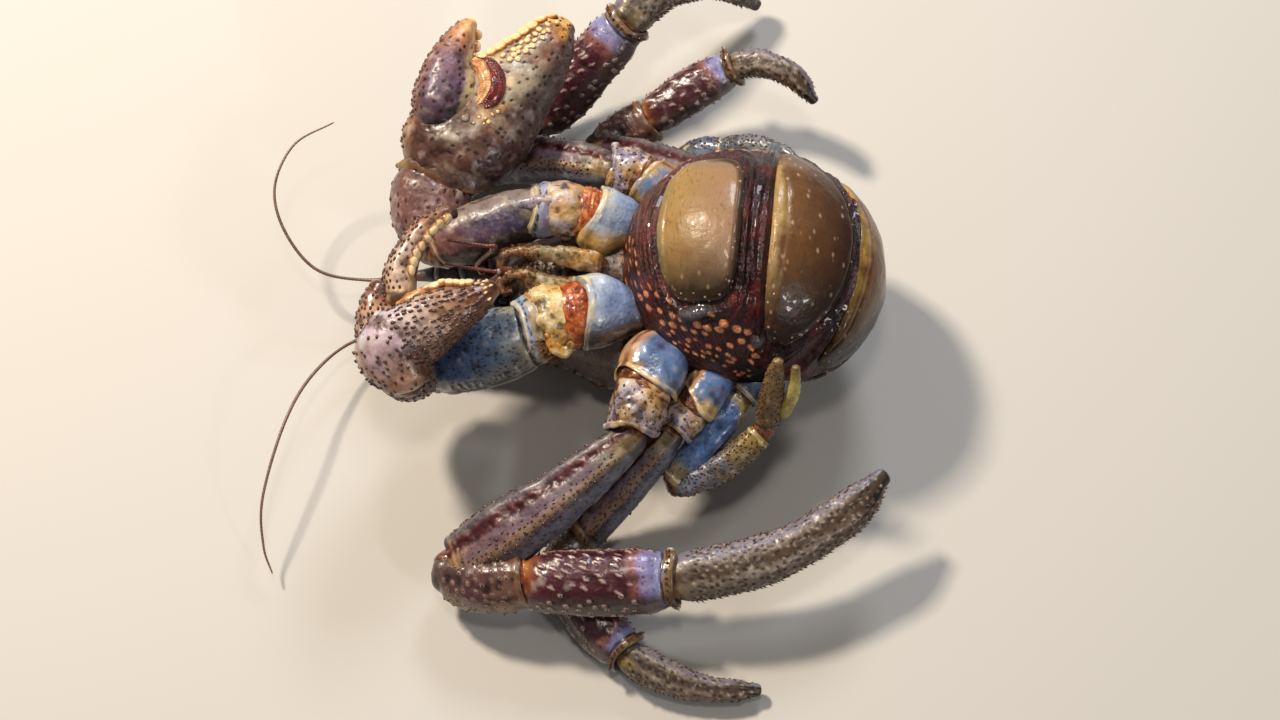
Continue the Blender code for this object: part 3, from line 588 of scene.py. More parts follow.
def studs(shell, t, angle, size, outline, finish, lean=0.0, sides=8, jitter=0.15, seed=1):
    """Small closed bumps, teeth or spines set on a shell; size is (half length, half width, height)."""
    points, normal, along, across = shell.at(t, angle)
    rng = np.random.default_rng(seed)
    count = len(points)
    size = np.stack([np.broadcast_to(part, count) for part in size], 1)
    size = size * (1 + rng.uniform(-jitter, jitter, (count, 3)))
    swing = rng.uniform(-jitter, jitter, count)
    cosine, sine = np.cos(swing)[:, None], np.sin(swing)[:, None]
    along, across = along * cosine + across * sine, across * cosine - along * sine
    local = [(0.0, 0.0, outline[0][1])]
    for share, height in outline:
        for side in range(sides):
            turn = TAU * (side + 0.5) / sides
            local.append((share * math.cos(turn), share * math.sin(turn), height))
    local.append((0.0, 0.0, 1.0))
    local = np.array(local)
    x, y, z = ((local[None, :, k] * size[:, None, k])[..., None] for k in range(3))
    rise = np.maximum(z, 0)
    x = x + rise * lean + rise ** 2 / np.maximum(size[:, None, 2:], 1e-6) * lean * 0.5
    grid = points[:, None] + along[:, None] * x + across[:, None] * y + normal[:, None] * z
    bands, faces = len(outline), []
    last = 1 + bands * sides
    for side in range(sides):
        beyond = (side + 1) % sides
        faces.append((0, 1 + beyond, 1 + side, -1))
        for band in range(bands - 1):
            low, high = 1 + band * sides, 1 + (band + 1) * sides
            faces.append((low + side, low + beyond, high + beyond, high + side))
        top = 1 + (bands - 1) * sides
        faces.append((top + side, top + beyond, last, -1))
    faces = np.array(faces)
    every = np.where(faces[None] >= 0, faces[None] + (np.arange(count) * len(local))[:, None, None], -1)
    level = np.clip(local[:, 2], 0, 1)
    place = [np.repeat(t, len(local)), np.repeat(angle / TAU, len(local)), np.tile(level, count)]
    # each bump gets painted shade at its foot and a painted highlight at its top, in the finishes that read
    # it
    return {"points": grid.reshape(-1, 3), "faces": every.reshape(-1, 4), "place": np.stack(place, 1),
            "tint": np.zeros((count * len(local), 3)), "wear_and_shading": np.tile(level - 0.3, count),
            "finish": finish}


def neck(amount, width=0.12):
    """Girth of a segment that narrows to its root, to sit in the cup before it."""
    return lambda t: 1 - amount * (1 - ease(0, width, t))


def joint_skin(name, colours, rough=0.3):
    """Arthrodial membrane: the soft, wet, slightly translucent skin folded between two segments."""
    material, shader = blank(name)
    where = add(material, "TexCoord", out=3)
    place = add(material, "Attribute", attribute_name="place", out=1)
    folds = add(material, "TexNoise",
                {"Vector": where, "Scale": per(3.0), "Detail": 5.0, "Distortion": 0.6})
    tone = add(material, "ValToRGB", {"Fac": folds}, stops=colours)
    pleat = add(material, "TexWave", {"Vector": place, "Scale": 9.0, "Distortion": 3.5, "Detail": 3.0})
    rise = add(material, "Math", {0: pleat, 1: 0.5, 2: folds}, operation="MULTIPLY_ADD")
    bump = add(material, "Bump", {"Height": rise, "Strength": 0.5, "Distance": 0.55 * MM})
    plug(material, shader,
         {"Base Color": tone, "Normal": bump, "Roughness": rough, "Subsurface Weight": 0.12,
          "Subsurface Radius": (0.004, 0.0015, 0.001), "Coat Weight": 0.5, "Coat Roughness": 0.12})
    return material


orange_skin = joint_skin("orange_joint_skin",
                         [(0.25, "#54200e"), (0.42, "#94421c"), (0.56, "#b8602c"), (0.72, "#d89858")],
                         rough=0.22)
brown_skin = joint_skin("brown_joint_skin",
                        [(0.25, "#2c140e"), (0.45, "#5c2e1c"), (0.62, "#8a4f26"), (0.8, "#b98242")])
red_skin = joint_skin("red_joint_skin",
                      [(0.25, "#26080a"), (0.45, "#541410"), (0.62, "#84281a"), (0.8, "#b0502c")],
                      rough=0.2)
cream_skin = joint_skin("cream_joint_skin",
                        [(0.25, "#8a4c24"), (0.42, "#c07c48"), (0.58, "#dca870"), (0.75, "#ecc890")])
# half-hard cuticle of the blade over the wrist's fold: ochre at its rim, rough and dull
fold_chitin = chitin("fold_chitin",
                     top=[(0, "#94703c"), (0.2, "#6c4a2c"), (0.6, "#56382a"), (1, "#44302a")],
                     under=[(0, "#4c3018"), (1, "#2c1a10")], bands=[(-0.9, 0.35, "#8c6434", 0.8)],
                     mottle="#2c1a10", mottled=0.85, rough=0.38, coat=0.12, hazy=0.2)
# the joints' pivots, polished by their own motion: pale grey-blue
knob_chitin = chitin("hinge_knob_chitin", top=[(0, "#8c98b0"), (1, "#a8a8a8")],
                     under=[(0, "#6d7888"), (1, "#847c70")], mottle="#a07840", mottled=0.45, rough=0.27,
                     coat=0.5)
# blunt teeth of the larger claw: the same enamel, stained more deeply
amber_horn = ivory.copy()
amber_horn.name = "amber_tooth_enamel"
for node in amber_horn.node_tree.nodes:
    if node.type == "VALTORGB":
        for stop, code in zip(node.color_ramp.elements, ("#5c3014", "#b87434", "#dca868", "#ecca94")):
            stop.color = linear(code)


def collar(stations, before, finish, seed, swell=0.9):
    """The bag of joint skin round a segment's root, reaching back into the segment before."""
    root, ahead = np.array(stations[0], float), np.array(stations[1], float)
    last, earlier = np.array(before[-1], float), np.array(before[-2], float)
    go = unit(ahead[:3] - root[:3]) + unit(last[:3] - earlier[:3])
    go = unit(go) if np.linalg.norm(go) > 0.3 else unit(ahead[:3] - root[:3])
    half = 0.5 * min(root[3:].min(), last[3:].min())
    width, depth = np.minimum(root[3:], last[3:]) * swell
    middle = (root[:3] + last[:3]) / 2
    bag = Shell([(*(middle - go * half), width * 0.9, depth * 0.9), (*middle, width, depth),
                 (*(middle + go * half), width * 0.92, depth * 0.92)], seed, spacing=0.6, root=1.2)
    bag.height += 0.35 * np.sin(bag.T * 22 + 2.0 * waves(bag.grid, 5, seed)) * bell(bag.T, 0.5, 0.4)
    return bag.lumps((3.0, 0.5), (1.3, 0.15)).settle().chunk(finish)


def knobs(shell, size, finish, seed):
    """The two hard pivots of a joint, on either side of the socket's rim."""
    angle = np.array([0.0, math.pi])
    return studs(shell, np.full(2, 0.985), angle, (size, size, size * 0.6), TOOTH, finish, sides=12,
                 seed=seed)


# --- the right claw, the smaller one, folded over the head
limb = CLAWS["claw_right"]
# pale lilac and cream cuticle that browns to its dark tip, satin
palm_right = chitin(
    "right_palm_chitin",
    top=[(0, "#a07454"), (0.1, "#b48c7c"), (0.26, "#c8aebc"), (0.44, "#ccb8b0"), (0.64, "#c09674"),
         (0.84, "#865038"), (1, "#34180f")],
    under=[(0, "#54362c"), (0.5, "#6a4640"), (1, "#3c1e16")],
    bands=[(0.95, 0.35, "#84583c", 0.7), (-0.85, 0.5, "#946448", 0.85)],
    mottle="#8a5840", mottled=0.55, pale="#b4c4e0", rim="#cfa878", rough=0.33, coat=0.25)
palm = Shell(limb["palm"], seed=21, spacing=0.48, girth=neck(0.05, 0.14), root=1.9)
# the bay of the finger
palm.height -= 7.0 * bell(palm.T, 0.44, 0.15) * bell(turn_gap(palm.A, 0.0), 0, 0.8)
palm.settle()
palm.wear_and_shading[:] = np.clip(palm.wear_and_shading, -0.4, 0.0)
palm.lumps((12, 0.6), (4, 0.28), (1.5, 0.1))
palm.keel(math.radians(-16), 0.1, -0.6, (0.02, 0.4)).keel(math.radians(-2), 0.1, 0.7, (0.0, 0.4))
rng = np.random.default_rng(22)
sparse = palm.rows_of(rng, (-0.09, 0.36), (0.1, TAU), 2.5, 3.3, 0.42)
dense = palm.rows_of(rng, (0.34, 0.97), (0.66, math.pi + 1.4), 2.4, 2.1, 0.32)
below = palm.rows_of(rng, (0.05, 0.95), (math.pi + 0.7, TAU - 0.2), 3.4, 3.0)
palm.marks(*sparse, 1.15, 0.95, 0.12, 0).marks(*dense, 1.2, 0.78, 0.26, 0)
palm.marks(np.linspace(0.56, 0.95, 20), np.full(20, 0.42), 1.9, 1.6, 0.25, 2)
# painted highlight: broad pale blue patches near the finger's bay, laid on in the pale tint
palm.marks([0.24, 0.31, 0.38], [0.8, 0.78, 0.9], [6.0, 6.0, 4.0], [4.2, 4.6, 3.4], 0.3, 1,
           edge=-0.4).settle()
outer_t = np.linspace(0.0, 0.4, 22)
cheek = Shell([(-91, -40, 64, 8.6, 8.6), (-92.2, -31, 67.6, 8.0, 8.0), (-93.0, -23.5, 69.6, 6.6, 6.8),
               (-91.2, -17.0, 71.4, 4.6, 5.0)], 31, spacing=0.45)
cheek.lumps((4, 0.5), (1.6, 0.15)).settle()
cheek_scales = cheek.rows_of(rng, (0.3, 0.98), (-0.9, 2.2), 2.0, 1.9, 0.35)
palm_chunks = [
    palm.chunk(palm_right),
    studs(palm, *sparse, (0.8, 0.6, 0.4), LENS, horn, seed=1),
    studs(palm, *dense, (1.0, 0.5, 0.5), LENS, horn, lean=0.5, seed=2),
    studs(palm, *below, (0.9, 0.6, 0.4), LENS, horn, lean=0.4, seed=3),
    studs(palm, outer_t, rng.uniform(-0.12, 0.08, 22) % TAU, (0.8, 0.8, 0.9), LENS, horn, lean=0.3,
          seed=4),
    studs(palm, np.linspace(0.52, 0.88, 9), 0.42 + rng.uniform(-0.04, 0.04, 9), (1.9, 2.0, 1.35), TOOTH,
          ivory, sides=12, jitter=0.25, seed=5),
    studs(palm, np.linspace(0.88, 0.99, 4), np.full(4, 0.36), (1.0, 1.0, 1.2), LENS, horn, seed=6),
    cheek.chunk(palm_right), studs(cheek, *cheek_scales, (0.8, 0.6, 0.6), LENS, horn, lean=0.3, seed=32),
    studs(palm, rng.uniform(0.93, 1.0, 9), rng.uniform(0.2, 2.4, 9) % TAU, (1.0, 0.6, 0.9), LENS, ivory,
          seed=6),
]

# the finger's cuticle: sandy, and dark and polished toward its biting tip
dactyl_right = chitin(
    "right_finger_chitin",
    top=[(0, "#d2b48c"), (0.25, "#c0a490"), (0.5, "#b89c8c"), (0.76, "#a0704c"), (0.9, "#5c3826"),
         (1, "#1c100c")], under=[(0, "#6a4a44"), (0.9, "#3c1e18"), (1, "#140a08")],
    bands=[(0.95, 0.4, "#845038", 0.8)], mottle="#7a5440", mottled=0.5, rim="#e0c498", rough=0.36)
finger = Shell(limb["dactyl"], seed=24, spacing=0.42, girth=neck(0.04), root=1.4)
finger.lumps((8, 0.45), (3, 0.22), (1.3, 0.08))
finger.marks(np.linspace(0.2, 0.9, 16), np.full(16, 2.3), 2.0, 1.9, 0.3, 2).settle()
rough_side = finger.rows_of(rng, (0.05, 0.9), (-1.2, 1.2), 2.1, 1.7, 0.35)
smooth_side = finger.rows_of(rng, (0.04, 0.88), (1.2, 2.1), 2.9, 2.6, 0.35)
finger_chunks = [
    finger.chunk(dactyl_right),
    studs(finger, *rough_side, (0.85, 0.5, 0.65), LENS, horn, lean=0.4, seed=7),
    studs(finger, *smooth_side, (0.75, 0.5, 0.4), LENS, horn, lean=0.3, seed=8),
    studs(finger, np.linspace(0.24, 0.9, 8), 2.28 + rng.uniform(-0.05, 0.05, 8), (1.95, 1.8, 1.1), TOOTH,
          ivory, sides=12, jitter=0.25, seed=9),
    Shell([(-84.0, -24.5, 73.4, 2.4, 2.4), (-78.5, -23.2, 75.4, 3.4, 2.8), (-71.5, -19.6, 75.2, 2.4, 2.2)],
          33, spacing=0.35).lumps((3, 0.6), (1.5, 0.2)).settle().chunk(cream_skin),
]

# mauve-grey cuticle in the shade of the palm
carpus_right = chitin("right_wrist_chitin", top=[(0, "#54485a"), (0.5, "#846a68"), (1, "#94706a")],
                      under=[(0, "#3c3448"), (1, "#6d4c48")], mottle="#8a6456", mottled=0.45, rim="#8a6a58")
wrist = Shell(limb["carpus"], seed=26, tip="cup", spacing=0.65, root=1.2, span=(0.0, 0.9),
              girth=lambda t: neck(0.12)(t) * (1 - 0.14 * ease(0.4, 0.9, t)))
wrist.lumps((9, 0.5), (3, 0.2)).ring(0.96, 0.9, 0.3, 0.4).settle()
wrist_scales = wrist.rows_of(rng, (0.1, 0.98), (0, TAU), 2.8, 2.6)

# blue cuticle with an ochre rim, finely specked, with a wet gloss
merus_right = chitin("right_arm_chitin",
                     top=[(0, "#a88c54"), (0.1, "#8c8878"), (0.3, "#76828f"), (0.55, "#4c668a"),
                          (0.78, "#2e4a74"), (1, "#343c4c")],
                     under=[(0, "#54483c"), (0.5, "#383a44"), (1, "#33302f")],
                     bands=[(0.8, 0.4, "#747068", 0.65), (-0.3, 0.25, "#7890b0", 0.4)], mottle="#2a303c",
                     mottled=0.55, rough=0.27, coat=0.5, specks=0.7, hazy=0.2, rim="#d0b070")
arm = Shell(limb["merus"], seed=28, tip="cup", spacing=0.5, girth=neck(0.06), root=1.2)
arm.lumps((13, 0.8), (4, 0.35), (1.6, 0.12))
ribs = np.maximum(np.sin(arm.T * 110 + 4 * waves(arm.grid, 8, 29)), 0) ** 2
ribs *= ease(-0.4, 0.3, waves(arm.grid, 3.5, 30))
crest = bell(turn_gap(arm.A, 0.62 + 0.2 * waves(arm.grid, 9, 31)), 0, 0.2) * ribs * ease(0.15, 0.35, arm.T)
crest *= ease(1.0, 0.75, arm.T)
arm.height += 0.6 * crest
arm.tint[..., 1] = 0.6 * crest
arm.keel(0.0, 0.12, 0.8, (0.05, 0.95)).ring(0.05, 1.0, 0.7, 1.0).ring(0.11, 0.5, -0.6)
arm_dots = arm.rows_of(rng, (0.14, 0.95), (0.2, math.pi + 0.3), 2.8, 2.4, 0.48)
arm.marks(*arm_dots, 0.7, 0.55, -0.14, 0).settle()

for node, skin, chunks in (
    ("claw_right_palm", palm, palm_chunks),
    ("claw_right_dactyl", finger, finger_chunks),
    ("claw_right_carpus", wrist, [
        wrist.chunk(carpus_right), studs(wrist, *wrist_scales, (0.8, 0.6, 0.4), LENS, horn, seed=10),
        collar(limb["palm"], limb["carpus"], brown_skin, 34, 0.8)]),
    ("claw_right_merus", arm, [
        arm.chunk(merus_right), knobs(arm, 2.0, knob_chitin, 35),
        collar(limb["carpus"], limb["merus"], brown_skin, 36)]),
):
    skins[node] = skin
    stand_for(node, chunks)

# --- the left claw, the larger one
limb = CLAWS["claw_left"]
# umber and khaki cuticle, mottled all over, that ends in orange at the tip
palm_left = chitin(
    "left_palm_chitin",
    top=[(0, "#4c3028"), (0.18, "#5c3c30"), (0.34, "#7d5c4a"), (0.5, "#b4a68c"), (0.68, "#9c8c78"),
         (0.84, "#845c4a"), (0.93, "#b4803e"), (1, "#dc9c4c")],
    under=[(0, "#342022"), (0.5, "#402a2e"), (1, "#5c3828")],
    bands=[(-0.9, 0.7, "#3c222c", 0.85), (0.95, 0.25, "#94603a", 0.6)],
    mottle="#543428", mottled=0.6, pale="#c4b49c", rim="#e4b468", rough=0.33, hazy=0.18)
palm = Shell(limb["palm"], seed=41, spacing=0.55, girth=neck(0.02, 0.1), root=1.4)
palm.lumps((15, 0.9), (5, 0.35), (1.6, 0.1))
pits = palm.rows_of(rng, (0.1, 0.97), (0.9, math.pi + 0.7), 3.9, 3.8, 0.48)
below = palm.rows_of(rng, (0.06, 0.95), (math.pi + 0.8, TAU), 4.0, 3.8)
edge = palm.rows_of(rng, (0.05, 0.5), (-0.5, 0.5), 2.6, 2.4, 0.4)
palm.marks(*pits, 1.0, 0.75, -0.22, 0)
palm.marks(np.linspace(0.5, 0.99, 30), np.full(30, 0.6), 2.2, 3.4, 0.2, 2)
palm.marks([0.93, 0.97, 0.99, 0.99], [0.8, 1.2, 0.6, 1.6], 3.6, 3.4, 0.2, 2)
# pale cream patches by the knuckle: partly the palm's own cream, partly a painted highlight
pale_t, pale_a = palm.find([(-67.6, 46.0, 66.0), (-71, 47, 66), (-60, 50, 68), (-50, 62, 70)])
palm.marks(pale_t, pale_a, [7.0, 5.0, 6.0, 10.0], [4.5, 4.0, 4.0, 8.0], [0.8, 0.6, 0.4, 0.2], 1, edge=-0.6)
bay = [(-60.2, 78.6, 70.2), (-52.6, 75.2, 71.6), (-48.4, 65.5, 71.4), (-51.4, 56.8, 70.2),
       (-58.2, 53.4, 68.8)]
palm.marks(*palm.find(bay), 5.0, 4.0, 0.3, 2, edge=-0.6).settle()
bead_t, bead_a = palm.rows_of(rng, (0.62, 0.95), (1.02, 1.42), 2.2, 2.1, 0.3)
grit = palm.find([(-59.5, 51.5, 68.0), (-57.5, 52.5, 68.0), (-55.0, 53.6, 68.0), (-52.5, 54.8, 68.0),
                  (-58.5, 50.0, 68.0), (-56.0, 51.0, 68.0), (-61.5, 50.5, 68.0)])
palm_chunks = [
    palm.chunk(palm_left),
    studs(palm, *below, (1.0, 0.7, 0.5), LENS, horn, lean=0.4, seed=11),
    studs(palm, *edge, (0.75, 0.6, 0.7), LENS, horn, lean=0.3, seed=12),
    studs(palm, np.linspace(0.5, 0.97, 10), 0.68 + rng.uniform(-0.03, 0.03, 10), (2.5, 2.6, 1.2), TOOTH,
          amber_horn, sides=14, jitter=0.14, seed=13),
    studs(palm, bead_t, bead_a, (1.2, 1.2, 0.8), TOOTH, amber_horn, sides=10, jitter=0.3, seed=14),
    studs(palm, *palm.find([(-64.0, 52.3, 68.0)]), (1.7, 1.4, 0.5), TOOTH, fold_chitin, sides=16, seed=15),
    studs(palm, *grit, (0.9, 0.8, 0.6), LENS, amber_horn, jitter=0.4, seed=20),
    studs(palm, rng.uniform(0.9, 1.0, 12), rng.uniform(0.2, 2.4, 12), (0.6, 0.5, 0.4), LENS, horn,
          seed=19),
]
# violet-brown cuticle with a dull bloom, orange at the tip
dactyl_left = chitin(
    "left_finger_chitin",
    top=[(0, "#5a4452"), (0.35, "#6d5268"), (0.6, "#7d5860"), (0.8, "#b87a50"), (1, "#ecb872")],
    under=[(0, "#3a2830"), (1, "#7d4c30")],
    bands=[(0.95, 0.5, "#7d4a32", 0.8), (-0.92, 0.35, "#cdb68a", 0.85)],
    mottle="#452c34", mottled=0.5, rough=0.38, coat=0.08, rim="#d8c090")
finger = Shell(limb["dactyl"], seed=44, spacing=0.5, girth=neck(0.08), root=1.4)
# the joint's pale face
face = bell(turn_gap(finger.A, math.pi - 0.25), 0, 0.62) * bell(finger.T, 0.34, 0.22)
finger.height += 4.6 * face
finger.settle()
finger.tint[..., 2] = np.maximum(finger.tint[..., 2], ease(0.35, 0.85, face))
finger.wear_and_shading[:] = np.clip(finger.wear_and_shading, -0.4, 0.0)
finger.lumps((10, 0.6), (3.5, 0.25), (1.4, 0.08))
holes = finger.rows_of(rng, (0.06, 0.8), (0.5, 2.7), 3.6, 3.5, 0.45)
finger.marks(*holes, 1.0, 0.75, -0.25, 0).settle()
rough_side = finger.rows_of(rng, (0.05, 0.96), (-1.3, 0.65), 2.2, 1.9, 0.35)
hinge = [(-59.8, 75.6, 70.2), (-55.4, 72.0, 71.6), (-52.8, 65.2, 71.8), (-54.8, 58.6, 70.6),
         (-59.4, 55.4, 69.2)]
red_fold = Shell([(x, y, z - 0.4, r, r) for (x, y, z), r in zip(hinge, (1.8, 3.2, 3.6, 3.2, 1.8))], 58,
                 spacing=0.4)
pale_fold = Shell([(x - 3.6, y, z + 0.6, r, r) for (x, y, z), r in zip(hinge, (1.3, 2.2, 2.6, 2.2, 1.3))],
                  59, spacing=0.35)
for fold in (red_fold, pale_fold):
    fold.height += 0.2 * np.sin(fold.A * 7 + 2 * waves(fold.grid, 6, 5))
    fold.lumps((5, 0.3)).settle()
finger_chunks = [
    finger.chunk(dactyl_left), red_fold.chunk(red_skin), pale_fold.chunk(cream_skin),
    studs(finger, *rough_side, (0.75, 0.55, 0.6), LENS, horn, lean=0.3, seed=15),
    studs(finger, np.linspace(0.45, 0.92, 5), np.full(5, 3.0), (2.1, 2.2, 2.0), TOOTH, ivory, sides=12,
          seed=16),
]
# red-brown satin cuticle, deeply pitted
carpus_left = chitin("left_wrist_chitin", top=[(0, "#54383a"), (0.5, "#74504c"), (1, "#5c3e34")],
                     under=[(0, "#38262c"), (1, "#44302a")], mottle="#94685a", mottled=0.35, rough=0.34,
                     rim="#6a4a30")
wrist = Shell(limb["carpus"], seed=46, tip="cup", spacing=0.65, girth=neck(0.08), root=1.2)
wrist.lumps((11, 0.7), (4, 0.3), (1.5, 0.1)).ring(0.95, 0.9, 0.4, 0.6)
holes = wrist.rows_of(rng, (0.08, 0.9), (0.2, 3.2), 4.8, 4.6, 0.45)
wrist.marks(*holes, 1.1, 0.6, -0.4, 0).settle()
wrist_scales = wrist.rows_of(rng, (0.08, 0.92), (math.pi + 0.3, TAU + 0.3), 3.4, 3.2)
blade = Shell([(-89.5, 40.6, 53.6, 1.0, 0.9), (-83.5, 37.8, 58.8, 4.2, 1.8), (-75.5, 35.4, 61.2, 6.4, 2.0),
               (-67.5, 33.8, 60.6, 7.2, 2.2), (-60.5, 32.4, 57.2, 5.4, 2.0),
               (-54.5, 31.4, 52.6, 1.6, 1.0)], 47, spacing=0.45)
blade.lumps((9, 0.8), (3.5, 0.35), (1.5, 0.1)).keel(0.75, 0.12, -0.5)
grooves = blade.rows_of(rng, (0.1, 0.9), (0.4, 2.7), 3.4, 3.0, 0.45)
blade.marks(*grooves, 0.9, 0.5, -0.25, 0).settle()
blade.wear_and_shading = np.minimum(blade.wear_and_shading, 0.15)
# dark violet cuticle with brown ends, nearly dull
merus_left = chitin("left_arm_chitin",
                    top=[(0, "#7d6a48"), (0.1, "#5c5444"), (0.25, "#34304c"), (0.5, "#443654"),
                         (0.75, "#6a464c"), (1, "#8a5c4c")], under=[(0, "#3c3030"), (1, "#2e222a")],
                    bands=[(0.8, 0.5, "#2a2420", 0.85), (-0.75, 0.55, "#84766c", 0.8)], mottle="#8c6a4c",
                    mottled=0.5, rough=0.4, coat=0.12, hazy=0.2)
arm = Shell(limb["merus"], seed=48, tip="cup", spacing=0.55, girth=neck(0.06), root=1.2)
arm.lumps((12, 0.8), (4, 0.3), (1.6, 0.08)).ring(0.97, 0.8, 0.5, 0.8).ring(0.06, 0.9, 0.6, 0.7).settle()
arm_dots = arm.rows_of(rng, (0.1, 0.9), (math.pi, TAU), 3.6, 3.4)
for node, skin, chunks in (
    ("claw_left_palm", palm, palm_chunks),
    ("claw_left_dactyl", finger, finger_chunks),
    ("claw_left_carpus", wrist, [
        wrist.chunk(carpus_left), studs(wrist, *wrist_scales, (0.9, 0.7, 0.5), LENS, horn, seed=17),
        blade.chunk(fold_chitin), collar(limb["palm"], limb["carpus"], brown_skin, 54, 1.05)]),
    ("claw_left_merus", arm, [
        arm.chunk(merus_left), studs(arm, *arm_dots, (0.8, 0.6, 0.4), LENS, horn, seed=18),
        collar(limb["carpus"], limb["merus"], brown_skin, 56)]),
):
    skins[node] = skin
    stand_for(node, chunks)

# --- the bases of both claws: a hip plate with a cream lip, a strap of orange joint skin, a round
# middle piece furred with grit-coloured bristles, and a pale blue collar edged with black dashes
BASE_TONES = {      # hip, its underside and its side; ball and its mottle; collar
    "claw_right": (
        ["#6c6a68", "#788cb4", "#94a8d0", "#b0bccc", "#c8bc98"], "#3a342f", "#4c4844",
        ["#b87c30", "#d0a048", "#ccb87c", "#b47c34"], "#6a3a14",
        ["#c09448", "#a89878", "#8ca4c8", "#98a0a4"]),
    "claw_left": (
        ["#a88848", "#86a0c8", "#98b0d4", "#b0bccc", "#ccbc88"], "#c49a4c", "#84683c",
        ["#b88444", "#c49a60", "#a498a8", "#b09868"], "#9c5c2c",
        ["#947c54", "#8c84a0", "#8c98b4", "#a89c80"]),
}
HIP_LOBES = {       # how far the hip's rim reaches out, mm, where round it, and in how many lobes
    "claw_right": [(1.8, 0.2, 2), (0.8, 1.2, 3)],
    "claw_left": [(2.7, 0.0, 1), (0.8, 0.9, 3)],
}
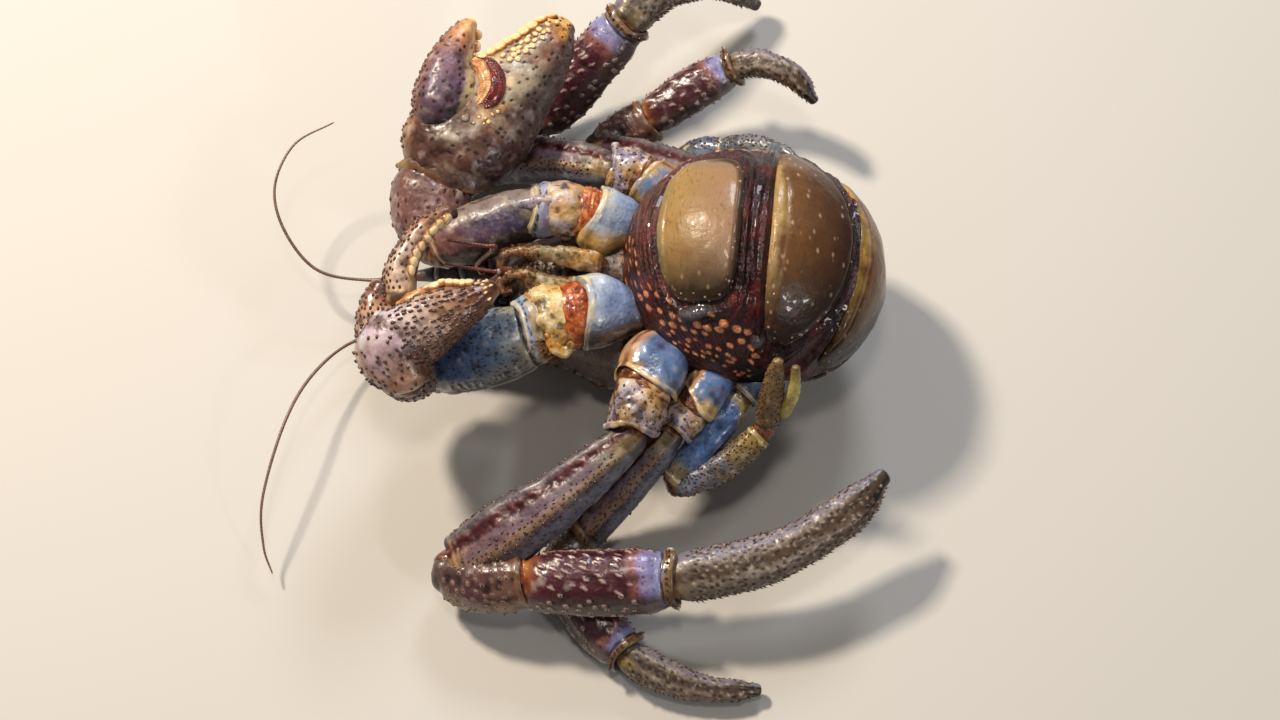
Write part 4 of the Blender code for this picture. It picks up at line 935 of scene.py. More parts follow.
for name, seed in (("claw_right", 61), ("claw_left", 66)):
    hip_tones, low_tone, side_tone, ball_tones, ball_mottle, cuff_tones = BASE_TONES[name]
    # pale blue, glossy hip plates; round middles of dull, gritty ochre; blue-grey collars with dark dashes
    hip_chitin = chitin(
        name + "_hip_chitin", top=list(zip((0, 0.14, 0.3, 0.44, 0.53), hip_tones)),
        under=[(0, "#54483f"), (0.5, "#6a5f58"), (1, "#8a744c")],
        bands=[(1.0, 0.98 if name == "claw_right" else 0.72, low_tone, 0.95)],
        rim="#c8b484", mottle=side_tone, mottled=0.35, rough=0.24, coat=0.5, hazy=0.14, grain=0.4, dirt_and_shade=0.6)
    ball_chitin = chitin(name + "_ball_chitin", top=list(zip((0, 0.62, 0.74, 0.86), ball_tones)),
                         under=[(0, "#6a4a2c"), (1, "#84602f")], mottle=ball_mottle, mottled=0.7,
                         rim="#b07830", rough=0.4, hazy=0.25, grain=0.5)
    collar_chitin = chitin(name + "_cuff_chitin", top=list(zip((0, 0.88, 0.94, 1), cuff_tones)),
                           under=[(0, "#6d5f50"), (1, "#7d6c58")], dark="#120d0e", rim="#dcc48c",
                           mottle="#a87830", mottled=0.5, coat=0.4, hazy=0.06)
    stations = CLAWS[name]["base"]
    hip = Shell(stations, seed, span=(0.0, 0.47), spacing=0.56, tip="cup", root=0.7, lobes=HIP_LOBES[name],
                girth=lambda t: 0.84 + 0.16 * ease(0.22, 0.46, t) - 0.05 * bell(t, 0.12, 0.05))
    if name == "claw_left":                     # the inner lobe that meets its fellow over the breast
        hip.height += 5.0 * bell(turn_gap(hip.A, 0.4), 0, 0.6) * bell(hip.T, 0.33, 0.15)
    else:
        hip.height += 2.0 * bell(turn_gap(hip.A, math.pi - 0.5), 0, 0.6) * bell(hip.T, 0.33, 0.15)
    hip.settle()
    hip.wear_and_shading[:] = np.minimum(hip.wear_and_shading, 0)
    hip.lumps((12, 0.5), (4, 0.2), (1.4, 0.06)).keel(5.6, 0.2, -0.9).keel(0.3, 0.12, 0.5)
    hip.ring(0.46, 0.45, 0.35, 0.7).settle()
    strap = Shell(stations, seed + 1, span=(0.38, 0.68), spacing=0.48, lobes=[(1.2, 0.4, 1)],
                  girth=lambda t: 0.84 + 0.07 * ease(0.44, 0.5, t) - 0.1 * ease(0.56, 0.68, t))
    # pleats along the strap
    strap.height += 0.14 * np.sin(strap.T * 120 + 3 * waves(strap.grid, 7, seed))
    strap.lumps((7, 0.35), (2.5, 0.12)).settle()
    ball = Shell(stations, seed + 2, span=(0.56, 0.84), spacing=0.5, tip="cup",
                 lobes=[(1.4, 2.4, 1), (0.8, 0.5, 2)], girth=lambda t: 0.8 + 0.16 * bell(t, 0.71, 0.13))
    bumps = 1.1 if name == "claw_right" else 0.7
    ball.height += bumps * waves(ball.grid, 7, seed) * ease(0.58, 0.7, ball.T)
    ball.lumps((3, 0.4), (1.2, 0.15))
    stipple = ball.rows_of(rng, (0.62, 0.83), (0, TAU), 1.3, 1.3, 0.5)
    patchy = waves(ball.at(*stipple)[0], 4.0, seed) > 0.15
    ball.marks(stipple[0][patchy], stipple[1][patchy], 0.34, 0.3, -0.08, 0, edge=0.6).settle()
    cuff = Shell(stations, seed + 3, span=(0.76, 1.0), spacing=0.5, tip="cup",
                 lobes=[(2.4, 5.4, 1), (1.4, 0.4, 2)], girth=lambda t: 0.82 + 0.18 * ease(0.78, 0.9, t))
    dash_a = np.arange(0, TAU, 0.2) + rng.uniform(-0.05, 0.05, 32)
    cuff.lumps((6, 0.7), (2.4, 0.25)).ring(0.985, 0.5, 0.35, 0.8)
    cuff.marks(rng.uniform(0.935, 0.955, 32), dash_a % TAU, 0.42, 0.95, -0.2, 0).settle()
    skins[name + "_base"] = ball
    chunks = [hip.chunk(hip_chitin), strap.chunk(orange_skin), ball.chunk(ball_chitin),
              cuff.chunk(collar_chitin), collar(CLAWS[name]["merus"], stations, brown_skin, seed + 4)]
    if name == "claw_right":                    # the horn-coloured pivot at the lower end of the strap
        pivot = Shell([(-32.6, -31.4, 59.4, 1.2, 1.0), (-30.4, -34.4, 57.8, 2.2, 1.5),
                       (-26.8, -35.2, 56.4, 2.2, 1.5), (-24.4, -33.0, 58.4, 1.2, 1.0)], seed + 5,
                      spacing=0.35).lumps((4, 0.6), (1.6, 0.2))
        chunks.append(pivot.settle().chunk(ball_chitin))
    if name == "claw_left":                     # the pointed lobe that the middle piece sends over the arm
        lobe = Shell([(-27.0, 17.4, 63.0, 3.4, 2.2), (-32.5, 18.2, 66.4, 3.4, 2.0),
                      (-40.0, 18.6, 66.6, 2.2, 1.4), (-46.0, 18.0, 65.0, 0.7, 0.7)], seed + 5,
                     spacing=0.35).lumps((4, 0.4), (1.6, 0.12))
        pores = lobe.rows_of(rng, (0.15, 0.9), (0.6, 2.4), 1.8, 1.6, 0.4)
        chunks.append(lobe.marks(*pores, 0.4, 0.35, -0.15, 0).settle().chunk(collar_chitin))
    stand_for(name + "_base", chunks)

# ------------------------------------------------------------------ walking legs
# Two pairs of long walking legs. Each has a hip, a flattened arm, a short knee, a shin and a curved
# claw-like foot of calcified chitin, all set with rows of scale ridges and short spines for climbing.
LEGS = {
    "leg_2_right": {
        "dactyl": [(12, -111, 28, 9.0, 6.5), (33, -108, 30, 9.4, 7.0), (54, -101, 32, 8.4, 6.2),
                   (75, -88, 35, 7.6, 5.4), (87, -76, 37, 5.2, 4.0)],
        "propodus": [(-42, -111, 25, 9.0, 6.5), (-30, -112, 26, 11.2, 8.0), (0, -112, 27, 11.5, 8.2),
                     (12, -111, 28, 10.5, 7.4)],
        "carpus": [(-70, -106, 17, 8.5, 7.5), (-55, -111, 21, 10.5, 8.6), (-41, -111, 25, 9.5, 8.0)],
        "merus": [(-5, -66, 46, 7.0, 6.5), (-24, -80, 39, 9.4, 7.6), (-47, -94, 29, 12.4, 8.6),
                  (-65, -103, 18, 11.6, 8.4)],
        "base": [(12, -27, 47, 9.5, 8.0), (6, -36, 50, 13.2, 11.0), (1, -50, 52, 12.2, 10.5),
                 (-3, -62, 48, 9.6, 8.8)],
    },
    "leg_3_right": {
        "dactyl": [(-5, -134, 10, 6.0, 5.0), (7, -141, 9, 6.4, 5.0), (24, -146, 7, 4.8, 4.2),
                   (42, -146, 5, 3.4, 3.0)],
        "propodus": [(-26, -112, 11, 7.4, 6.4), (-15, -124, 10, 9.0, 7.4), (-5, -133, 10, 8.2, 6.8)],
        "carpus": [(-22, -92, 13, 7.2, 6.6), (-27, -101, 12, 8.2, 7.2), (-27, -110, 11, 7.6, 6.6)],
        "merus": [(9, -62, 39, 6.4, 6.0), (-7, -77, 27, 8.4, 7.0), (-21, -89, 15, 8.4, 7.0)],
        "base": [(30, -34, 44, 7.0, 7.0), (24, -46, 46, 8.2, 8.0), (12, -60, 41, 7.4, 7.0)],
    },
    "leg_2_left": {
        "dactyl": [(-5, 110, 42, 8.6, 6.6), (8, 124, 43, 9.2, 7.0), (24, 134, 34, 8.2, 6.4),
                   (38, 138, 22, 6.8, 5.4), (47, 137, 10, 4.4, 4.0)],
        "propodus": [(-42, 79, 15, 8.4, 7.0), (-32, 86, 20, 10.0, 8.0), (-16, 100, 32, 10.4, 8.0),
                     (-5, 110, 41, 9.4, 7.4)],
        "carpus": [(-80, 68, 12, 8.0, 7.2), (-62, 74, 12, 10.2, 8.6), (-43, 78, 14, 9.6, 8.0)],
        "merus": [(-11, 42, 48, 7.4, 7.0), (-34, 52, 36, 8.8, 7.8), (-58, 60, 22, 10.0, 8.4),
                  (-77, 66, 13, 10.0, 8.2)],
        "base": [(18, 27, 46, 8.0, 7.5), (8, 34, 48, 10.5, 9.5), (-2, 39, 49, 10.5, 9.5),
                 (-10, 42, 48, 8.8, 8.5)],
    },
    "leg_3_left": {
        "dactyl": [(36, 94, 34, 5.4, 4.8), (47, 93, 38, 5.6, 4.8), (59, 87, 39, 4.6, 4.0),
                   (67, 79, 35, 3.2, 2.8)],
        "propodus": [(3, 77, 22, 7.0, 6.2), (18, 85, 28, 8.4, 7.0), (36, 94, 34, 7.6, 6.4)],
        "carpus": [(-16, 69, 15, 6.2, 5.8), (-7, 73, 18, 8.0, 7.0), (3, 77, 22, 8.6, 7.0)],
        "merus": [(22, 41, 45, 7.0, 6.6), (3, 54, 31, 7.8, 6.8), (-14, 66, 16, 7.4, 6.4)],
        "base": [(34, 27, 43, 7.0, 7.0), (29, 34, 46, 8.2, 8.0), (23, 40, 45, 7.8, 7.4)],
    },
}
# grey-brown cuticle of the foot, dark and horny at its tip, with a painted highlight along its upper edge
foot_chitin = chitin(
    "foot_chitin",
    top=[(0, "#8a7448"), (0.08, "#74665a"), (0.5, "#7c6c60"), (0.78, "#5c4432"), (0.92, "#38241a"),
         (1, "#120a08")], under=[(0, "#4c3c30"), (0.8, "#3a281e"), (1, "#0c0706")],
    # the first band, grey-lavender along the upper edge, is a painted highlight
    bands=[(0.9, 0.5, "#7c7684", 0.9), (0.1, 0.3, "#44301f", 0.85), (-0.9, 0.35, "#5c4a38", 0.7)],
    mottle="#34241a", mottled=0.5, dark="#1c120c", pale="#94846c", rough=0.38, coat=0.15)
# dark red cuticle with a blue-violet band before the foot, satin
shin_chitin = chitin("shin_chitin",
                     top=[(0, "#b87838"), (0.07, "#7d4430"), (0.14, "#4a1a24"), (0.68, "#461622"),
                          (0.76, "#84504a"), (0.82, "#8478a4"), (0.92, "#7c84b4"), (0.955, "#8c7450"),
                          (1, "#6a5030")],
                     under=[(0, "#6a4c34"), (0.5, "#382428"), (0.82, "#54587c"), (1, "#685c50")],
                     bands=[(-0.8, 0.6, "#4c3c38", 0.9)], mottle="#5c2424", mottled=0.3, dark="#160c0c",
                     pale="#94706c", rim="#7d5c38", rough=0.3, coat=0.35, hazy=0.05)
# dull maroon cuticle of the knee
knee_chitin = chitin("knee_chitin", top=[(0, "#54443c"), (0.4, "#4c2c34"), (1, "#6a4a3c")],
                     under=[(0, "#3c2c34"), (1, "#44332c")], bands=[(-0.9, 0.45, "#8c7460", 0.75)],
                     mottle="#6a4c40", mottled=0.4, pale="#a08470", rim="#84602f", rough=0.34, coat=0.25)
# violet-grey cuticle with a dark red furrow and grey-blue flanks, rough and specked
thigh_chitin = chitin("thigh_chitin",
                      top=[(0, "#a08450"), (0.08, "#7d7464"), (0.2, "#74646c"), (0.5, "#705a68"),
                           (0.9, "#785a5c"), (1, "#947048")], under=[(0, "#483c38"), (1, "#3a2c34")],
                      bands=[(-0.95, 0.4, "#403a40", 0.9), (-0.5, 0.3, "#541018", 1.0),
                             (0.2, 0.2, "#846236", 0.7), (0.85, 0.5, "#646a78", 0.85)], mottle="#4a342c",
                      mottled=0.4, rim="#a8844c", rough=0.42, coat=0.1, specks=0.6, hazy=0.06, dirt_and_shade=0.6)
# bright blue cuticle that turns ochre at the rim, as glossy as glaze
leg_hip_chitin = chitin("leg_hip_chitin",
                        top=[(0, "#946434"), (0.12, "#54719f"), (0.36, "#5f83b8"), (0.5, "#7488a8"),
                             (0.57, "#c8a86c"), (0.75, "#a87c44"), (1, "#a07034")],
                        under=[(0, "#384058"), (0.5, "#545a6c"), (1, "#74583a")],
                        bands=[(-0.85, 0.45, "#c08c50", 0.85)], rim="#b8a070", mottle="#a8561f",
                        mottled=0.45, rough=0.22, coat=0.55, hazy=0.16, dirt_and_shade=0.7)
# orange-brown cuticle of the ring that turns in the hip
trochanter_chitin = chitin("trochanter_chitin",
                           top=[(0, "#b07c38"), (0.68, "#bc945c"), (0.8, "#a8948c"), (0.9, "#8c88a8"),
                                (1, "#a48450")], under=[(0, "#5c4024"), (1, "#4c4034")], mottle="#845024",
                           mottled=0.5, rim="#a47c3c", rough=0.32, coat=0.3, specks=0.7, hazy=0.25,
                           dirt_and_shade=0.75)


def foot(stations, seed, spacing):
    """The curved foot: lines of dark bristle pits and short spines that lean to the hard, dark tip."""
    rng = np.random.default_rng(seed)
    skin = Shell(stations, seed, spacing=spacing, root=1.2,
                 girth=lambda t: neck(0.1, 0.06)(t) * (1 - 0.34 * ease(0.84, 1.0, t)))
    skin.lumps((7, 0.4), (2.5, 0.2))
    for turn in (0.25, 1.05, 1.9, 2.8, 4.2, 5.3):
        skin.keel(turn, 0.2, 0.22, (0.05, 0.9), 0.25)
    pits = skin.rows_of(rng, (0.07, 0.97), (0, TAU), 2.3, 2.9, 0.3)
    smooth = (np.cos(pits[1]) > 0.55) & (rng.random(len(pits[0])) < 0.6)    # the upper face is nearly bare
    skin.marks(pits[0][~smooth], pits[1][~smooth], 1.1, 0.66, -0.22, 0)
    knots = skin.rows_of(rng, (0.08, 0.97), (0, TAU), 3.1, 2.6, 0.4)
    skin.marks(*knots, 0.8, 0.7, 0.12, 1).settle()
    skin.wear_and_shading *= 0.6
    tips = skin.rows_of(rng, (0.06, 0.97), (2.2, TAU + 0.5), 2.9, 3.2, 0.35)
    crest = skin.rows_of(rng, (0.08, 0.97), (0.0, 0.5), 2.2, 1.8, 0.35)
    keel = skin.rows_of(rng, (0.08, 0.97), (2.7, 3.6), 2.1, 1.6, 0.35)
    return skin, [skin.chunk(foot_chitin),
                  studs(skin, *tips, (0.45, 0.36, 0.5), SPINE, horn, lean=1.2, sides=6, jitter=0.3,
                        seed=seed),
                  studs(skin, *crest, (0.5, 0.45, 0.6), SPINE, horn, 1.0, 6, 0.3, seed + 1),
                  studs(skin, *keel, (0.5, 0.45, 0.9), SPINE, horn, 1.0, 6, 0.3, seed + 2)]


def shin(stations, seed, spacing):
    """The shin: slanting rows of pale scale ridges on dark red, a blue band before the foot."""
    rng = np.random.default_rng(seed)
    skin = Shell(stations, seed, spacing=spacing, tip="cup", root=1.1, lobes=[(1.1, 0.3, 2)],
                 girth=lambda t: neck(0.12, 0.1)(t) * (1 - 0.05 * bell(t, 0.9, 0.04)))
    skin.lumps((8, 0.5), (3, 0.2)).keel(0.1, 0.2, 0.6, (0.1, 0.9)).keel(3.0, 0.2, 0.6, (0.1, 0.9))
    upper = skin.rows_of(rng, (0.12, 0.72), (0.2, 1.8), 4.8, 2.8, 0.3)
    skin.marks(*upper, 1.9, 0.62, 0.36, 1, axis=-22)
    lower = skin.rows_of(rng, (0.1, 0.76), (1.9, TAU), 4.6, 3.4, 0.35)
    skin.marks(*lower, 1.35, 1.0, 0.36, 1, axis=-20)
    skin.marks(lower[0] + 1.2 / skin.length, lower[1], 0.5, 0.8, -0.25, 0)
    dots = skin.rows_of(rng, (0.76, 0.81), (0, TAU), 1.8, 2.2, 0.25)
    skin.marks(*dots, 0.55, 0.5, -0.1, 0)
    skin.ring(0.935, 0.6, -0.45).ring(0.985, 0.8, 0.3, 0.45).settle()
    skin.wear_and_shading = np.minimum(skin.wear_and_shading, 1 - ease(0.9, 0.95, skin.T))
    fringe = np.arange(0, TAU, 0.24) + rng.uniform(-0.07, 0.07, 27)
    edge = skin.rows_of(rng, (0.06, 0.9), (-0.35, 0.3), 2.1, 1.8, 0.4)
    return skin, [skin.chunk(shin_chitin),
                  studs(skin, *edge, (0.6, 0.5, 0.7), SPINE, horn, 1.0, 6, 0.3, seed),
                  studs(skin, *lower, (0.42, 0.4, 0.35), LENS, horn, 0.5, 6, 0.3, seed + 1),
                  studs(skin, np.full(27, 0.97), fringe % TAU, (0.75, 0.6, 1.0), SPINE, horn, 0.9, 6, 0.35,
                        seed + 2)]


def knee(stations, seed, spacing):
    """The short knee, scaled like the shin."""
    rng = np.random.default_rng(seed)
    skin = Shell(stations, seed, spacing=spacing, tip="cup", root=1.9, girth=neck(0.1),
                 lobes=[(1.3, 2.8, 1), (0.7, 0.4, 2)])
    skin.lumps((7, 0.6), (2.5, 0.25)).keel(3.1, 0.2, 0.7).keel(0.2, 0.2, 0.5)
    scales = skin.rows_of(rng, (0.08, 0.88), (0, TAU), 3.0, 2.9, 0.35)
    skin.marks(*scales, 1.15, 0.8, 0.34, 1, axis=-30).marks(*scales, 0.45, 0.4, -0.3, 0)
    skin.ring(0.97, 0.7, 0.25, 0.5).settle()
    skin.wear_and_shading = np.minimum(skin.wear_and_shading, 0.0)
    return skin, [skin.chunk(knee_chitin),
                  studs(skin, *scales, (0.4, 0.36, 0.4), LENS, horn, 0.5, 6, 0.3, seed)]


def thigh(stations, seed, spacing):
    """The flattened arm: a dark wrinkled furrow, a granular brown crest and a grey-blue flank."""
    rng = np.random.default_rng(seed)
    skin = Shell(stations, seed, spacing=spacing, tip="cup", root=2.4, girth=neck(0.04),
                 lobes=[(1.6, 0.2, 1), (0.8, 0.6, 2)])
    skin.lumps((9, 0.6), (3, 0.22))
    skin.keel(2.08, 0.24, -0.7, (0.06, 0.97)).keel(1.36, 0.2, 0.8, (0.05, 1.0))
    skin.keel(2.62, 0.2, 0.5).keel(0.0, 0.2, 0.6)
    furrow = bell(turn_gap(skin.A, 2.08), 0, 0.24)
    wrinkles = 0.6 * furrow * waves(skin.grid, 2.4, seed)
    skin.height += wrinkles + 0.25 * furrow * waves(skin.grid, 1.2, seed + 1)
    grains = skin.rows_of(rng, (0.05, 0.97), (1.05, 1.65), 1.8, 1.4, 0.45)
    skin.marks(*skin.rows_of(rng, (0.08, 0.96), (-0.3, 1.1), 2.9, 2.6, 0.48), 0.65, 0.5, -0.14, 0)
    skin.ring(0.97, 0.6, 0.4, 0.5).ring(0.93, 0.5, -0.3).settle()
    skin.wear_and_shading = np.minimum(skin.wear_and_shading, 0.35)
    under = skin.rows_of(rng, (0.06, 0.96), (math.pi - 0.4, TAU), 3.0, 2.8, 0.4)
    return skin, [skin.chunk(thigh_chitin),
                  studs(skin, *grains, (0.55, 0.48, 0.5), LENS, horn, 0.4, 6, 0.4, seed),
                  studs(skin, *under, (0.8, 0.5, 0.55), LENS, horn, 0.6, 6, 0.3, seed)]


def leg_base(stations, seed, spacing):
    """The hip, a blue glossy plate with a cream lip, and the short ring that turns in it."""
    rng = np.random.default_rng(seed)
    hip = Shell(stations, seed, span=(0, 0.58), spacing=spacing, tip="cup",
                lobes=[(1.8, 0.3, 1), (0.8, 1.0, 2)],
                girth=lambda t: 0.93 + 0.07 * ease(0.2, 0.5, t) - 0.05 * bell(t, 0.12, 0.04))
    hip.lumps((8, 0.7), (3, 0.2)).keel(2.6, 0.25, -0.7, (0.1, 0.6)).ring(0.57, 0.45, 0.35, 0.75).settle()
    strap = Shell(stations, seed + 1, span=(0.46, 0.74), spacing=spacing, girth=lambda t: 0.85)
    strap.height += 0.25 * np.sin(strap.T * 260 + 2 * waves(strap.grid, 5, seed))
    strap.lumps((3, 0.4)).settle()
    ring = Shell(stations, seed + 2, span=(0.63, 1.0), spacing=spacing, tip="cup",
                 lobes=[(1.4, 3.4, 1), (1.0, 0.2, 2)],
                 girth=lambda t: 0.83 + 0.14 * ease(0.64, 0.8, t)).lumps((5, 0.8), (2, 0.3), (1.1, 0.1))
    grains = ring.rows_of(rng, (0.68, 0.95), (0, TAU), 2.4, 2.6, 0.45)
    ring.marks(*grains, 0.6, 0.5, 0.15, 0).ring(0.98, 0.5, 0.35, 0.5).ring(0.66, 0.5, 0.3, 0.4).settle()
    return ring, [hip.chunk(leg_hip_chitin), strap.chunk(brown_skin), ring.chunk(trochanter_chitin),
                  studs(ring, *grains, (0.5, 0.42, 0.4), LENS, horn, 0.4, 6, 0.4, seed)]


# the maker of each segment, and the segment that its collar of joint skin reaches
MAKERS = {"dactyl": foot, "propodus": shin, "carpus": knee, "merus": thigh, "base": leg_base}
AHEAD = {"propodus": "dactyl", "carpus": "propodus", "merus": "carpus", "base": "merus"}
for number, (name, limb) in enumerate(LEGS.items()):
    spacing = 0.52 if name.startswith("leg_2") else 0.6
    for order, (part, stations) in enumerate(limb.items()):
        seed = 100 + 10 * number + order
        skin, chunks = MAKERS[part](stations, seed, spacing)
        if part in AHEAD:
            finish = orange_skin if part == "carpus" else brown_skin
            swell = 0.78 if part == "base" else 0.88
            chunks.append(collar(limb[AHEAD[part]], stations, finish, seed + 5, swell))
            chunks.append(knobs(skin, 0.17 * min(stations[-1][3:]), knob_chitin, seed))
        skins[f"{name}_{part}"] = skin
        stand_for(f"{name}_{part}", chunks)

# ------------------------------------------------------------------ fourth legs
# A short, slender pair tucked beside the abdomen, each ending in a small pincer that grooms the gills:
# bright blue arms and brown-speckled hands with yellow fingers, of thin chitin.
FOURTH = {
    "leg_4_right": {
        "dactyl": [(51, -56.5, 49, 2.6, 2.6), (54, -52.5, 60, 2.4, 2.4), (54.5, -46.5, 69, 1.6, 1.6)],
        "palm": [(45.5, -58.5, 43, 4.4, 4.2), (46.2, -54.5, 51, 4.6, 4.2), (46.8, -51, 58, 4.2, 3.8),
                 (47.4, -47.6, 65, 3.2, 3.0), (48.2, -44.8, 71, 2.0, 1.8)],
        "carpus": [(14, -77, 28, 4.6, 4.4), (30, -71, 34, 5.4, 5.0), (43, -61.5, 41, 4.8, 4.6)],
        "merus": [(37, -48, 43, 5.4, 5.0), (24, -62, 36, 6.2, 5.8), (12, -74, 28, 5.6, 5.2)],
        "base": [(48, -33, 42, 5.4, 5.4), (43, -42, 44, 6.4, 6.0), (38, -47, 43, 5.6, 5.4)],
    },
    "leg_4_left": {
        "dactyl": [(49, 53, 41, 2.6, 2.6), (54, 51, 46, 2.6, 2.4), (58, 46, 48, 1.8, 1.8)],
        "palm": [(31, 58, 32, 4.6, 4.2), (40, 57, 36, 5.4, 5.0), (49, 54, 40, 4.4, 4.2),
                 (55, 51, 40, 2.6, 2.6), (60, 47, 43, 1.8, 1.8)],
        "carpus": [(18, 59, 27, 4.8, 4.4), (25, 59, 30, 5.6, 5.2), (32, 58, 32, 5.0, 4.8)],
        "merus": [(40, 38, 45, 5.4, 5.2), (29, 48, 36, 6.2, 5.8), (18, 57, 28, 5.6, 5.2)],
        "base": [(50, 25, 42, 5.4, 5.4), (46, 31, 44, 6.4, 6.0), (41, 37, 45, 5.8, 5.6)],
    },
}
# thin cuticle of the right one: glossy, bright blue arms, a specked wrist, a dull brown hand, yellow fingers
blue_chitin = chitin("blue_arm_chitin",
                     top=[(0, "#8c7c48"), (0.12, "#3c5c94"), (0.6, "#4c70a8"), (0.9, "#6c7c94"),
                          (1, "#988454")], under=[(0, "#2c3448"), (1, "#44444c")], mottle="#2c3c58",
                     mottled=0.6, rim="#b8a468", rough=0.3, coat=0.35, specks=0.7, speck="#241c20",
                     hazy=0.25)
hand_chitin = chitin("hand_chitin", top=[(0, "#6d5c3c"), (0.4, "#7a602f"), (1, "#8a6c38")],
                     under=[(0, "#5c4a2c"), (1, "#5c4828")], mottle="#3c2c18", mottled=0.6, dark="#1c110c",
                     rough=0.42, specks=0.8)
wrist_chitin = chitin("speckled_wrist_chitin",
                      top=[(0, "#6a6c74"), (0.3, "#5c6880"), (0.6, "#746848"), (1, "#94783c")],
                      under=[(0, "#34322f"), (1, "#4c3c24")], mottle="#8a6c30", mottled=0.6, rim="#b8a468",
                      rough=0.34, coat=0.25, specks=0.85, speck="#1c120c", hazy=0.3)
# the left one is duller: slate arms and a grey-brown hand
slate_chitin = chitin("slate_arm_chitin",
                      top=[(0, "#6a6454"), (0.15, "#4c5c78"), (0.6, "#586a88"), (1, "#706c5c")],
                      under=[(0, "#2c3444"), (1, "#3c3c40")], mottle="#3c342c", mottled=0.6, rim="#9c8c60",
                      rough=0.3, coat=0.35, specks=0.8, speck="#241a14", hazy=0.25)
grey_hand_chitin = chitin("grey_hand_chitin", top=[(0, "#5c6878"), (0.5, "#64707c"), (1, "#6a5c48")],
                          under=[(0, "#3c4048"), (1, "#4c4438")], mottle="#54402c", mottled=0.6,
                          dark="#1c1410", rough=0.34, coat=0.3, specks=0.7)
yellow_chitin = chitin("yellow_finger_chitin", top=[(0, "#a89448"), (0.6, "#c8b868"), (1, "#6d5428")],
                       under=[(0, "#7a6c38"), (1, "#5c4828")], mottle="#8a7030", mottled=0.6, rough=0.4,
                       specks=0.5)
for number, (name, limb) in enumerate(FOURTH.items()):
    for order, (part, stations) in enumerate(limb.items()):
        seed = 200 + 10 * number + order
        rng = np.random.default_rng(seed)
        last = part in ("dactyl", "palm")
        finish = {"dactyl": yellow_chitin, "palm": hand_chitin,
                  "carpus": wrist_chitin}.get(part, blue_chitin)
        if name == "leg_4_left":
            finish = grey_hand_chitin if last else slate_chitin
        skin = Shell(stations, seed, spacing=0.45, tip="dome" if last else "cup",
                     girth=neck(0.15)).lumps((4, 0.25), (1.6, 0.1))
        if part == "palm":
            skin.marks(*skin.rows_of(rng, (0.05, 0.95), (0, TAU), 2.0, 2.0, 0.35), 0.7, 0.55, 0.18, 0)
        if not last:
            skin.ring(0.97, 0.5, 0.35, 1.0)
        skins[f"{name}_{part}"] = skin.settle()
        chunks = [skin.chunk(finish)]
        if part in ("palm", "carpus"):
            pores = skin.rows_of(rng, (0.04, 0.96), (0, TAU), 1.7, 1.6, 0.4)
            chunks.append(studs(skin, *pores, (0.5, 0.42, 0.4), LENS, horn, 0.5, 6, 0.4, seed))
        if not last:
            ahead = {"carpus": "palm", "merus": "carpus", "base": "merus"}[part]
            chunks.append(collar(limb[ahead], stations, brown_skin, seed + 5, 0.9))
        stand_for(f"{name}_{part}", chunks)

# ------------------------------------------------------------------ head
# Mouth palps, stalked eyes, and two pairs of feelers: the antennules that smell, held over the face on
# thin red-brown rods, and the long antennae, whips of hundreds of chitin rings on stout bases.
HEAD = {
    "antennule_left": [(-52, 4, 32, 1.8, 1.8), (-60, 3, 46, 1.4, 1.4), (-52, 1, 66, 1.2, 1.2),
                       (-56, 1.4, 67, 0.9, 0.9), (-69, 3, 68, 0.6, 0.6)],
    "antennule_right": [(-52, -4, 32, 1.8, 1.8), (-56, -5, 46, 1.4, 1.4), (-50, -6, 60, 1.2, 1.2),
                        (-54, -5.8, 61, 0.9, 0.9), (-70, -4, 63, 0.6, 0.6)],
    "eye_left": [(-42, 2.5, 31, 2.8, 2.6), (-47, 2.8, 32, 3.0, 2.8), (-51, 3, 33, 3.4, 3.2),
                 (-54, 3.2, 33, 2.6, 2.4)],
    "eye_right": [(-42, -5.5, 31, 2.8, 2.6), (-47, -5.8, 32, 3.0, 2.8), (-51, -6, 33, 3.4, 3.2),
                  (-54, -6.2, 33, 2.6, 2.4)],
    "maxilliped_left": [(-15, -1, 57, 4.2, 4.0), (-25, 0, 60, 4.0, 3.8), (-33, 0.5, 62, 3.0, 2.8),
                        (-40, 1.2, 62.4, 2.1, 2.0), (-46, 1.2, 62, 1.7, 1.6), (-50, -1.0, 61.4, 1.6, 1.5),
                        (-50, -4.2, 60.6, 1.2, 1.2), (-46.8, -4.8, 60, 0.8, 0.8)],
    "maxilliped_right": [(-17, -10, 54, 4.2, 3.8), (-28, -9, 55, 3.8, 3.5), (-36, -7.5, 57, 2.8, 2.6),
                         (-43, -6, 58.4, 2.0, 2.0), (-48, -6.8, 59, 1.6, 1.6), (-51, -9.6, 58.4, 1.4, 1.4),
                         (-49.4, -12.2, 57.4, 1.1, 1.1), (-46.4, -11.6, 57, 0.7, 0.7)],
}
